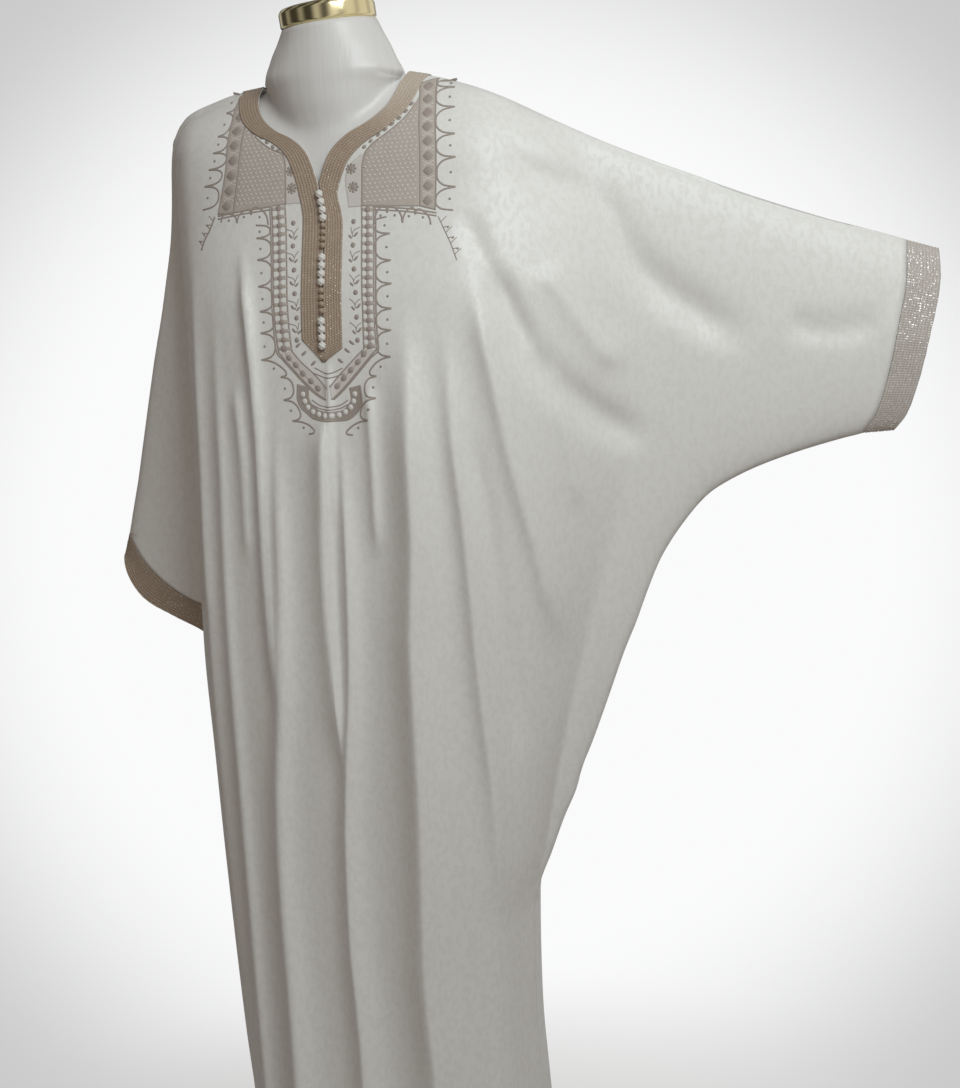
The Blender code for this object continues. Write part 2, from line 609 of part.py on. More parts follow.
def make_cuff(name, side, edge, collection):
    """A braid band round the end of a sleeve: a closed loop, front from overarm to underarm and then
    the back, three rows wide from the sleeve's seam to the open edge."""
    start = cuff_seam(side)
    run = np.concatenate([[0], np.cumsum(np.linalg.norm(np.diff(start, axis=0), axis=1))])
    finish = along(edge, run / run[-1])
    toward = finish - start
    start = start + toward * (CUFF_GAP / np.linalg.norm(toward, axis=1, keepdims=True))
    rows = []
    for part in (0.0, 0.5, 1.0):
        line = start + (finish - start) * part
        x, z = line[:, 0], line[:, 1]
        loop = []
        for front in (True, False):
            half = half_depth(x, z, front) + CUFF_PROUD
            half[0] = half[-1] = 0.0
            y = seam_sheet(x) + (-half if front else half)
            face = np.stack([x, y, z], axis=1)
            loop.append(face[:-1] if front else face[::-1][:-1])
        rows.append(np.concatenate(loop))
    points = np.concatenate(rows)
    ring = len(rows[0])
    faces = []
    for i in range(2):
        for j in range(ring):
            a, b = i * ring + j, i * ring + (j + 1) % ring
            quad = (a, a + ring, b + ring, b)
            faces.append(quad if side < 0 else quad[::-1])
    item = make_object(name, points, faces, "taupe_braid", collection)
    thicken(item, WALL)
    return item


def braid_front(edge, x, height):
    """Where the braid's front face lies, as y, at a place beside the slit: on the line between the
    panel's first two columns at that height, moved out by the strip's gap and thickness."""
    levels = edge[:, 0, 2]
    near, far = (edge[:, column] for column in (0, 1))
    near_x, near_y = (np.interp(height, levels, near[:, axis]) for axis in (0, 1))
    far_x, far_y = (np.interp(height, levels, far[:, axis]) for axis in (0, 1))
    slope = (far_y - near_y) / (far_x - near_x)
    face = near_y + (x - near_x) * slope
    return face - (SEAM_GAP + BRAID_THICK) * math.hypot(1, slope)


def make_knots(collection):
    """Buttons tied from cord, in runs down the slit: white ones, and smaller beige ones between. Each
    is seated so that its nearest point is a seam's gap in front of the braid."""
    last = NECK_ROWS + SLIT_ROWS + 3
    edges = {side: panel_points(True, side)[0][NECK_ROWS:last, :2][::-1] for side in (-1, 1)}
    kinds = (
        ("knot_white", WHITE_RUNS, WHITE_PITCH, KNOT_RADIUS, "ivory_silk"),
        ("knot_beige", BEIGE_RUNS, BEIGE_PITCH, LOOP_RADIUS, "taupe_braid"),
    )
    squash = Matrix.Diagonal((1, KNOT_FLATNESS, 1, 1))
    for kind, runs, pitch, radius, material in kinds:
        heights = [top - pitch * k for top, count in runs for k in range(count)]
        for number, height in enumerate(heights, 1):
            middle = float(np.interp(height, edges[1][:, 0, 2], edges[1][:, 0, 0])) - SLIT_HALF
            shape = bmesh.new()
            bmesh.ops.create_uvsphere(shape, u_segments=6, v_segments=5, radius=radius, matrix=squash)
            room = [braid_front(edges[-1 if v.co.x < 0 else 1], middle + v.co.x, height + v.co.z) - v.co.y
                    for v in shape.verts]
            seat = Matrix.Translation((middle, min(room) - SEAM_GAP, height))
            bmesh.ops.transform(shape, matrix=seat, verts=shape.verts)
            mesh = bpy.data.meshes.new(kind)
            shape.to_mesh(mesh)
            shape.free()
            mesh.materials.append(make_material(material))
            mesh.shade_smooth()
            collection.objects.link(bpy.data.objects.new(f"{kind}_{number:02d}", mesh))


def form_rings():
    """Rings of the form: its own where the cloth hangs free, and at the shoulders the cloth's left
    rings a hair smaller and lower, which both shoulders fit. Columns: height, width, front, back and
    flank."""
    free = [ring + (FORM_FLANK,) for ring in FORM_RINGS]
    held = []
    for height, left, right, front, back, flank, other in BODY_RINGS:
        if height - FORM_DROP > FORM_TOP_OF_FREE:
            depth = max(front - FORM_EASE, FORM_THINNEST)
            held.append((height - FORM_DROP, left - FORM_SIDE_EASE, depth, back - FORM_EASE, flank))
    return tuple(free + held + [ring + (FORM_FLANK,) for ring in NECK_ROOT])


def neck_radius(angle, wide, deep):
    """Distance from the pole's line to an ellipse that lies forward of it, at each angle round it:
    the farther root of the quadratic that the ellipse's equation gives along a ray."""
    across, fore = (np.cos(angle) / wide) ** 2, (np.sin(angle) / deep) ** 2
    middle = -NECK_FORWARD * np.sin(angle) / deep**2
    rest = (NECK_FORWARD / deep) ** 2 - 1
    return (middle + np.sqrt(middle**2 - (across + fore) * rest)) / (across + fore)


def smooth_step(part):
    """From 0 to 1 with level ends."""
    part = np.clip(part, 0, 1)
    return part**2 * (3 - 2 * part)


def torso_ring(turn, width, front, back, flank):
    """Angles and radii of the torso's square-ish oval at these turns. In front its middle columns keep
    fixed angles, so that the neck stays round where the oval is thin; the rest share out its flanks."""
    dense = np.linspace(0, 2 * math.pi, 721)
    depth = np.where(np.sin(dense) < 0, front, back)
    share = np.abs(np.cos(dense)) ** (2 / CHEST_SQUARENESS)
    x = width * share * np.sign(np.round(np.cos(dense), 9))
    y = depth * np.abs(np.sin(dense)) ** (2 * flank) * np.sign(np.round(np.sin(dense), 9))
    angle = np.unwrap(np.arctan2(y, x))
    off = np.abs(turn - 1.5 * math.pi) / (math.pi / 2)
    edge = np.interp(1.5 * math.pi + MIDDLE_REACH, angle, dense)
    flanks = edge + (2 * math.pi - edge) * (off - MIDDLE_SHARE) / (1 - MIDDLE_SHARE)
    aside = np.where(off < MIDDLE_SHARE, MIDDLE_REACH * off / MIDDLE_SHARE,
                     np.interp(flanks, dense, angle) - 1.5 * math.pi)
    chosen = np.where(turn > math.pi, 1.5 * math.pi + np.sign(turn - 1.5 * math.pi) * aside,
                      np.interp(turn, dense, angle))
    return chosen, np.interp(chosen, angle, np.hypot(x, y))


def make_form(collection):
    """Bust, shoulders and neck as one loft of closed rings: at each height the torso's square-ish
    oval and the neck's ellipse joined by a high power sum of their radii."""
    rings = form_rings()
    heights, widths, depths = np.array(NECK_RINGS).T
    swing = np.linspace(0, 2 * math.pi, FORM_SIDES, endpoint=False)
    points = []
    for height in FORM_HEIGHTS:
        width, front, back, flank = [float(ring_value(height, k, rings)) for k in (1, 2, 3, 4)]
        angle, torso = torso_ring(swing, width, front, back, flank)
        neck = neck_radius(angle, through(height, heights, widths), through(height, heights, depths))
        radius = (torso**NECK_POWER + neck**NECK_POWER) ** (1 / NECK_POWER)
        x, y = radius * np.cos(angle), radius * np.sin(angle)
        lean = smooth_step((height - NECK_ROOT_HEIGHT) / (NECK_TOP - NECK_ROOT_HEIGHT))
        lift = ((y + NECK_FORWARD) * math.tan(NECK_TILT) + x * math.tan(NECK_SIDE_TILT)) * lean
        points.append(np.stack([x, y, height + lift], axis=1))
    flat = np.concatenate(points)
    faces = [tuple(reversed(range(FORM_SIDES)))]
    for i in range(len(FORM_HEIGHTS) - 1):
        for j in range(FORM_SIDES):
            a, b = i * FORM_SIDES + j, i * FORM_SIDES + (j + 1) % FORM_SIDES
            faces.append((a, b, b + FORM_SIDES, a + FORM_SIDES))
    last = (len(FORM_HEIGHTS) - 1) * FORM_SIDES
    faces.append(tuple(range(last, last + FORM_SIDES)))
    return make_object("form_torso", flat, faces, "gloss_form", collection)


def make_turned(name, profile, steps, material, matrix, collection):
    """A turned piece: a profile of (radius, height) from its foot to its top, spun with Screw."""
    mesh = bpy.data.meshes.new(name)
    points = [(radius, 0.0, height) for radius, height in reversed(profile)]
    mesh.from_pydata(points, [(i, i + 1) for i in range(len(points) - 1)], [])
    mesh.materials.append(make_material(material))
    item = bpy.data.objects.new(name, mesh)
    collection.objects.link(item)
    item.matrix_world = matrix
    screw = item.modifiers.new("turn", "SCREW")
    screw.steps = screw.render_steps = steps
    screw.use_merge_vertices = True
    screw.merge_threshold = 0.0001
    screw.use_smooth_shade = True
    return item


def make_stand(collection):
    """Round base, pole, brass neck cap and its knob."""
    rim = 0.003
    base = [(0.0, 0.0), (BASE_RADIUS - rim, 0.0), (BASE_RADIUS, rim), (BASE_RADIUS, BASE_THICK - rim),
            (BASE_RADIUS - rim, BASE_THICK), (0.0, BASE_THICK)]
    make_turned("base", base, 32, "polished_brass", Matrix.Identity(4), collection)
    foot, top = BASE_THICK + SEAM_GAP, FORM_FOOT - SEAM_GAP
    flange = 0.030
    pole = [(0.0, foot), (flange, foot), (flange, foot + 0.006), (POLE_RADIUS + 0.004, foot + 0.012),
            (POLE_RADIUS, foot + 0.018), (POLE_RADIUS, top - 0.010), (flange, top - 0.006),
            (flange, top), (0.0, top)]
    make_turned("pole", pole, 14, "polished_brass", Matrix.Identity(4), collection)
    upward = Vector((-math.tan(NECK_SIDE_TILT), -math.tan(NECK_TILT), 1)).normalized()
    turn = Vector((0, 0, 1)).rotation_difference(upward).to_matrix().to_4x4()
    seat = Matrix.Translation((0, -NECK_FORWARD, NECK_TOP)) @ turn
    edge = 0.0025
    cap = [(0.0, SEAM_GAP), (CAP_RADIUS - edge, SEAM_GAP), (CAP_RADIUS, SEAM_GAP + edge),
           (CAP_RADIUS, CAP_HEIGHT - 2 * edge), (CAP_RADIUS - edge, CAP_HEIGHT - edge / 2),
           (CAP_RADIUS - 3 * edge, CAP_HEIGHT), (0.0, CAP_HEIGHT)]
    make_turned("neck_cap", cap, 28, "polished_brass", seat, collection)
    lift = CAP_HEIGHT + SEAM_GAP
    ball = 0.020
    knob = [(0.0, lift), (0.011, lift), (0.012, lift + 0.003), (0.007, lift + 0.007)]
    knob += [(ball * math.cos(a), lift + 0.024 + ball * math.sin(a))
             for a in np.linspace(-1.15, math.pi / 2, 7)[:-1]]
    knob += [(0.0, lift + 0.024 + ball)]
    make_turned("finial", knob, 16, "polished_brass", seat, collection)


def main():
    for item in list(bpy.data.objects):
        bpy.data.objects.remove(item)
    collection = bpy.data.collections.new("jubba_on_form")
    bpy.context.scene.collection.children.link(collection)
    make_panel("front", True, collection)
    make_panel("back", False, collection)
    make_braid("braid_left", True, -1, collection)
    make_braid("braid_right", True, 1, collection)
    make_back_braid(collection)
    make_cuff("cuff_left", -1, LEFT_CUFF_EDGE, collection)
    make_cuff("cuff_right", 1, RIGHT_CUFF_EDGE, collection)
    make_knots(collection)
    make_form(collection)
    make_stand(collection)


main()
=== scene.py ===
"""A batwing jubba with a braided neck and taupe embroidery, worn by a limbless dress form.

Metres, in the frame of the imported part: +Z up, the origin on the floor under the pole, and the
garment faces -Y. +X is the garment's left arm, which is on the right of a viewer, and "left" and
"right" in names are the viewer's. Each section holds one piece or group of like pieces.
"""
import math
from types import SimpleNamespace

import bmesh
import bpy
import numpy as np
from mathutils import Matrix, Vector


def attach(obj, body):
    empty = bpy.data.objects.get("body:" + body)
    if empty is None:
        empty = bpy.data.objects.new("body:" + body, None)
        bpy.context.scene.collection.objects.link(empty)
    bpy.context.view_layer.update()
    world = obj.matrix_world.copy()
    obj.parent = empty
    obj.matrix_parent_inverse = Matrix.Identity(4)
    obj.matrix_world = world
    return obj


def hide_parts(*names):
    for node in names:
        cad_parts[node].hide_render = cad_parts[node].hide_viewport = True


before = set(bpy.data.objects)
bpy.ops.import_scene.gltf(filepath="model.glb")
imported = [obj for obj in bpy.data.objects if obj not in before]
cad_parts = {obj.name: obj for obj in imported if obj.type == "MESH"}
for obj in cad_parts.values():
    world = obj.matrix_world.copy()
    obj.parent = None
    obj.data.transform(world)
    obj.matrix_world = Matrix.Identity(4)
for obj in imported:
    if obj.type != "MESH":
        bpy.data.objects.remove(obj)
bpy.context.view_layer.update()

# ---- Camera
# It stands to the right of the garment's front at bust height, looks a little down, and is held
# slightly askew, as the photograph was taken.
CAMERA_AZIMUTH = math.radians(20)
CAMERA_DISTANCE = 1.72
CAMERA_HEIGHT = 1.15
CAMERA_TURN = math.radians(4.44)
CAMERA_PITCH = math.radians(7.453)
CAMERA_ROLL = math.radians(3.185)
CAMERA_LENS = 48.97

heading = math.pi / 2 + CAMERA_AZIMUTH - CAMERA_TURN
forward = np.array((math.cos(heading) * math.cos(CAMERA_PITCH),
                    math.sin(heading) * math.cos(CAMERA_PITCH), -math.sin(CAMERA_PITCH)))
level = np.cross(forward, (0, 0, 1))
level /= np.linalg.norm(level)
upright = np.cross(level, forward)
right = level * math.cos(CAMERA_ROLL) - upright * math.sin(CAMERA_ROLL)
up = level * math.sin(CAMERA_ROLL) + upright * math.cos(CAMERA_ROLL)
place = (CAMERA_DISTANCE * math.sin(CAMERA_AZIMUTH), -CAMERA_DISTANCE * math.cos(CAMERA_AZIMUTH),
         CAMERA_HEIGHT)
camera = bpy.data.objects.new("camera", bpy.data.cameras.new("camera"))
bpy.context.collection.objects.link(camera)
camera.data.lens = CAMERA_LENS
columns = [(*column, 0) for column in (right, up, -forward)] + [(*place, 1)]
camera.matrix_world = Matrix(columns).transposed()
bpy.context.scene.camera = camera

# ---- Room
# A pale studio: light air all round, a round matt floor that fades into it, and a large window-like
# light to the right of the garment, as in the photograph.
AIR = (0.955, 0.957, 0.96)
AIR_EDGE = (0.60, 0.60, 0.605)
AIR_TURN = (0.899, 0.965)
SHADE = (0.130, 0.100, 0.080)
DAYLIGHT = (0.355, 0.346, 0.330)
DAYLIGHT_FROM = (0.38, -0.76, 0.53)
DAYLIGHT_TURN = (0.05, 0.98)
BEHIND = (0.38, 0.375, 0.365)
BEHIND_FROM = (-0.10, 0.92, 0.38)
BEHIND_TURN = (0.45, 0.95)
STRIP_DARK = (0.05, 0.047, 0.043)
STRIP_BRIGHT = (0.80, 0.80, 0.79)
STRIP_TURNS = 9
STRIP_PHASE = 2.51
STRIP_SHARE = 0.55
STRIP_WALL = 0.75
STRIP_WALL_TURN = 0.35
STRIP_SOFTNESS = 0.9
FLOOR = (0.55, 0.545, 0.54)
FLOOR_ROUGHNESS = 0.9
FLOOR_GLOW = 0.45
FLOOR_SOLID = 0.25
FLOOR_FADED = 0.98
FLOOR_RADIUS = 1.0
FLOOR_DROP = 0.0005
FLOOR_SIDES = 96
LAMP_PLACE = (0.98, -1.02, 2.06)
LAMP_AIM = (0.32, 0.0, 1.26)
LAMP_SIDE = 0.8
LAMP_WATTS = 13.5
LAMP_COLOUR = (0.915, 0.985, 1.0)


def maths(operation, *terms):
    """A Math node on terms of which at least one is a Value."""
    tree = next(term.tree for term in terms if isinstance(term, Value))
    return add_node(tree, "ShaderNodeMath", {"operation": operation}, dict(enumerate(terms)))


class Value:
    """A number, colour or vector that varies over a surface, as the socket that carries it. Sums,
    differences and products of numbers add Math nodes to the tree."""

    def __init__(self, tree, socket):
        self.tree, self.socket = tree, socket

    def __add__(self, other):
        return maths("ADD", self, other)

    def __sub__(self, other):
        return maths("SUBTRACT", self, other)

    def __rsub__(self, other):
        return maths("SUBTRACT", other, self)

    def __mul__(self, other):
        return maths("MULTIPLY", self, other)

    __radd__, __rmul__ = __add__, __mul__


def add_node(tree, kind, settings=None, inputs=None, output=0):
    """Any node: its type, its settings, then the values or links of its sockets by name or number."""
    node = tree.nodes.new(kind)
    for name, setting in (settings or {}).items():
        setattr(node, name, setting)
    for name, term in (inputs or {}).items():
        if isinstance(term, Value):
            tree.links.new(term.socket, node.inputs[name])
        else:
            node.inputs[name].default_value = term
    return Value(tree, node.outputs[output])


def mixed(factor, first, second):
    """Colour between two, by a factor from 0 to 1."""
    colours = [c if isinstance(c, Value) else (*c, 1.0)[:4] for c in (first, second)]
    return add_node(factor.tree, "ShaderNodeMix", {"data_type": "RGBA"},
                    {0: factor, 6: colours[0], 7: colours[1]}, output=2)


def ramp_between(value, low, high):
    """0 under low, 1 over high, smooth between."""
    return add_node(value.tree, "ShaderNodeMapRange", {"interpolation_type": "SMOOTHSTEP"},
                    {"Value": value, "From Min": low, "From Max": high})


def coordinates(tree, kind="Object"):
    """Where a surface is, or for "Generated" in the air, which way a ray goes."""
    return add_node(tree, "ShaderNodeTexCoord", output=kind)


def axis(vector, letter):
    """One of a vector's three numbers."""
    return add_node(vector.tree, "ShaderNodeSeparateXYZ", None, {0: vector}, output=letter)


def facing(away, way):
    """Cosine of the angle between a ray's way and another."""
    return add_node(away.tree, "ShaderNodeVectorMath", {"operation": "DOT_PRODUCT"},
                    {0: away, 1: way}, output="Value")


def ray_is(tree, kind):
    """1 for rays of one kind and 0 for the rest."""
    return add_node(tree, "ShaderNodeLightPath", output=f"Is {kind} Ray")


def build_air():
    """The world: pale where the camera looks in the photograph and greyer away from it, and for the
    light it sheds a warm shade that turns to daylight on the window's side, with some light from
    behind. Glossy pieces mirror the upright strips of a room's windows and walls."""
    world = bpy.data.worlds.new("air")
    bpy.context.scene.world = world
    world.use_nodes = True
    tree = world.node_tree
    away = coordinates(tree, "Generated")
    seen = mixed(ramp_between(facing(away, tuple(forward)), *AIR_TURN), AIR_EDGE, AIR)
    shed = mixed(ramp_between(facing(away, DAYLIGHT_FROM), *DAYLIGHT_TURN), SHADE, DAYLIGHT)
    shed = mixed(ramp_between(facing(away, BEHIND_FROM), *BEHIND_TURN), shed, BEHIND)
    turned = maths("ARCTAN2", axis(away, "Y"), axis(away, "X"))
    strip = maths("COSINE", turned * STRIP_TURNS + STRIP_PHASE) * STRIP_SHARE
    wall = maths("COSINE", turned - STRIP_WALL_TURN) * STRIP_WALL
    strips = ramp_between(strip + wall, -STRIP_SOFTNESS, STRIP_SOFTNESS)
    shed = mixed(ray_is(tree, "Glossy"), shed, mixed(strips, STRIP_DARK, STRIP_BRIGHT))
    air = mixed(ray_is(tree, "Camera"), shed, seen)
    tree.links.new(air.socket, tree.nodes["Background"].inputs["Color"])


def make_piece(name, points, faces, finish, uv=None):
    """A mesh object from arrays of points and of faces, shaded smooth; uv holds each point's place
    on the strip that it belongs to, in metres."""
    mesh = bpy.data.meshes.new(name)
    mesh.from_pydata(np.asarray(points, float).tolist(), [], [list(map(int, f)) for f in faces])
    if uv is not None:
        corner = np.zeros(len(mesh.loops), int)
        mesh.loops.foreach_get("vertex_index", corner)
        layer = mesh.uv_layers.new(name="strip")
        layer.data.foreach_set("uv", np.asarray(uv, float)[corner].ravel())
    mesh.update()
    mesh.materials.append(finish)
    mesh.shade_smooth()
    item = bpy.data.objects.new(name, mesh)
    bpy.context.collection.objects.link(item)
    return item


def make_finish(name, **constants):
    """A material with these constants on its shader's own sockets, an underscore for each space."""
    finish = bpy.data.materials.new(name)
    finish.use_nodes = True
    shader = finish.node_tree.nodes["Principled BSDF"]
    for socket, constant in constants.items():
        shader.inputs[socket.replace("_", " ")].default_value = constant
    return finish


def feed(finish, **sockets):
    """Links values to a finish's shader, an underscore in a socket's name for each space."""
    shader = finish.node_tree.nodes["Principled BSDF"]
    for socket, value in sockets.items():
        finish.node_tree.links.new(value.socket, shader.inputs[socket.replace("_", " ")])


build_air()

pale = make_finish("pale_floor", Roughness=FLOOR_ROUGHNESS, Base_Color=(*FLOOR, 1),
                   Emission_Strength=FLOOR_GLOW)
out = add_node(pale.node_tree, "ShaderNodeVectorMath", {"operation": "LENGTH"},
               {0: coordinates(pale.node_tree)}, output="Value")
feed(pale,
     Alpha=1 - ramp_between(out, FLOOR_SOLID, FLOOR_FADED),
     Emission_Color=mixed(ray_is(pale.node_tree, "Camera"), (0, 0, 0), (1, 1, 1)))
swing = np.linspace(0, 2 * math.pi, FLOOR_SIDES + 1)[:-1, None]
disc = np.hstack([FLOOR_RADIUS * np.cos(swing), FLOOR_RADIUS * np.sin(swing), 0 * swing - FLOOR_DROP])
make_piece("floor", disc, [range(FLOOR_SIDES)], pale)

lamp = bpy.data.lights.new("window", "AREA")
lamp.shape = "RECTANGLE"
lamp.size = lamp.size_y = LAMP_SIDE
lamp.energy, lamp.color = LAMP_WATTS, LAMP_COLOUR
holder = bpy.data.objects.new("window", lamp)
bpy.context.collection.objects.link(holder)
holder.visible_camera = False
away = Vector(LAMP_PLACE) - Vector(LAMP_AIM)
holder.matrix_world = Matrix.Translation(LAMP_PLACE) @ away.to_track_quat("Z", "Y").to_matrix().to_4x4()
bpy.context.scene.view_settings.view_transform = "Standard"

# ---- Front of the garment
# One panel of soft ivory viscose satin with a faint tone-on-tone weave, cut in one with the fronts
# of both batwing sleeves. It hangs from the shoulders in long soft folds, and is sewn to the back
# along the shoulders, overarms, underarms and sides.
WALL = 0.0012
SEAM_GAP = 0.0003
SEAM_TURN = 0.0016
SEAM_WALL_SHARE = 0.1
TURN_STEP = 0.00005
CUFF_STEP = 0.006
TOP_ROW_STEP = 0.004
TOP_ROW_LEAN = 25
ROW_POINTS = 160
ROW_SLACK = 0.001
HEM_HEIGHT = 0.050
SHOULDER_HEIGHT = 1.458
SLIT_TOP = 1.338
SLIT_FOOT = 1.172
SLIT_HALF = 0.0006
WING_TURN = math.radians(15.5)
WING_ROOT = 0.190
WING_BEND = 0.030
LEFT_SET_BACK = 0.016
LEFT_SET_START = 0.160
LEFT_SET_RUN = 0.070
SEAM_SOFTNESS = 0.060
SEAM_STEPS = 39
FAR = 9.0
FOLD_CALM = 0.035
CHEST_SQUARENESS = 3.0
JOIN_POWER = 3.0
BRAID_WIDTH = 0.024
UNDERARM_FOOT = 0.500
LEFT_CUFF_HEIGHTS = (0.952, 0.856)

# Rings of the cloth: half widths to the left and right of the pole, depths in front and behind, and
# how the flanks fall: 0.33 is round and closed, above 1 is a long slope out to the sleeve.
BODY_RINGS = (
    # height, left, right, front, back, left flank, right flank
    (1.458, 0.086, 0.086, 0.002, 0.056, 0.40, 0.40),
    (1.447, 0.127, 0.127, 0.020, 0.062, 0.40, 0.41),
    (1.436, 0.158, 0.160, 0.030, 0.067, 0.40, 0.43),
    (1.424, 0.185, 0.193, 0.038, 0.072, 0.40, 0.47),
    (1.410, 0.196, 0.215, 0.048, 0.078, 0.38, 0.56),
    (1.390, 0.199, 0.245, 0.060, 0.087, 0.36, 0.70),
    (1.360, 0.200, 0.280, 0.069, 0.095, 0.36, 0.85),
    (1.330, 0.199, 0.300, 0.074, 0.100, 0.36, 1.00),
    (1.300, 0.197, 0.325, 0.080, 0.103, 0.36, 1.15),
    (1.260, 0.195, 0.345, 0.092, 0.105, 0.38, 1.25),
    (1.210, 0.193, 0.355, 0.105, 0.105, 0.40, 1.30),
    (1.150, 0.193, 0.355, 0.112, 0.106, 0.42, 1.30),
    (1.060, 0.194, 0.340, 0.117, 0.110, 0.42, 1.25),
    (0.950, 0.198, 0.305, 0.120, 0.118, 0.40, 1.10),
    (0.830, 0.198, 0.262, 0.123, 0.126, 0.36, 0.85),
    (0.700, 0.192, 0.226, 0.125, 0.128, 0.34, 0.60),
    (0.580, 0.187, 0.198, 0.126, 0.128, 0.33, 0.42),
    (0.500, 0.183, 0.179, 0.127, 0.128, 0.33, 0.33),
    (0.360, 0.175, 0.175, 0.129, 0.129, 0.33, 0.33),
    (0.260, 0.168, 0.179, 0.131, 0.130, 0.33, 0.33),
    (0.050, 0.167, 0.188, 0.137, 0.136, 0.33, 0.33),
)

# Half depth of a sleeve lying flat between its seams
SLEEVE_FULLNESS = (
    # x, half depth
    (-0.320, 0.024),
    (-0.250, 0.019),
    (-0.190, 0.018),
    (0.000, 0.018),
    (0.200, 0.020),
    (0.420, 0.020),
    (0.560, 0.025),
    (0.650, 0.029),
)

# Seams and edges as seen from the front, in (x, z)
NECKLINE = (
    (0.087, 1.458), (0.084, 1.445), (0.08, 1.432), (0.0725, 1.418), (0.0535, 1.401), (0.033, 1.39),
    (0.0205, 1.38), (0.012, 1.369), (0.006, 1.355), (0.0006, 1.338),
)
BACK_NECKLINE = ((0.087, 1.458), (0.076, 1.448), (0.052, 1.441), (0.026, 1.437), (0.0, 1.436))
CENTRE_SHIFT = ((1.338, 0.0), (1.3, 0.007), (1.15, 0.008), (0.95, 0.002), (0.05, 0.0))
LEFT_SHOULDER = ((-0.087, 1.458), (-0.12, 1.455), (-0.153, 1.447), (-0.184, 1.437), (-0.199, 1.426))
LEFT_OVERARM = (
    (-0.199, 1.426), (-0.21, 1.408), (-0.2155, 1.38), (-0.2185, 1.346), (-0.2245, 1.3), (-0.235, 1.253),
    (-0.246, 1.207), (-0.256, 1.172), (-0.2665, 1.13), (-0.2825, 1.064), (-0.294, 1.016), (-0.306, 0.973),
    (-0.3115, 0.952), (-0.32, 0.926),
)
LEFT_SIDE = (
    (-0.2, 0.856), (-0.1985, 0.82), (-0.1935, 0.7), (-0.1885, 0.6), (-0.1835, 0.48), (-0.1785, 0.39),
    (-0.169, 0.26), (-0.168, 0.05),
)
LEFT_CUFF_SEAM = ((-0.3115, 0.952), (-0.289, 0.918), (-0.264, 0.893), (-0.234, 0.871), (-0.203, 0.856))
LEFT_UNDERCUFF = ((-0.2030, 0.856), (-0.2030, 0.818))
RIGHT_OVERARM = (
    (0.087, 1.458), (0.116, 1.4515), (0.15, 1.4405), (0.184, 1.4265), (0.235, 1.4), (0.292, 1.37),
    (0.344, 1.346), (0.396, 1.324), (0.448, 1.301), (0.522, 1.274), (0.575, 1.258), (0.614, 1.245),
    (0.648, 1.234),
)
RIGHT_UNDERARM = (
    (0.596, 1.035), (0.562, 1.034), (0.538, 1.029), (0.494, 1.018), (0.45, 1.004), (0.422, 0.992),
    (0.396, 0.977), (0.369, 0.949), (0.339, 0.905), (0.323, 0.869), (0.309, 0.833), (0.295, 0.801),
    (0.275, 0.748), (0.254, 0.694), (0.242, 0.666), (0.234, 0.64), (0.219, 0.607), (0.203, 0.566),
    (0.188, 0.53), (0.18, 0.5),
)
RIGHT_SIDE = ((0.18, 0.5), (0.177, 0.43), (0.176, 0.36), (0.18, 0.26), (0.189, 0.05))
RIGHT_CUFF_SEAM = (
    (0.614, 1.245), (0.6125, 1.2), (0.605, 1.16), (0.592, 1.1), (0.577, 1.055), (0.562, 1.034),
)

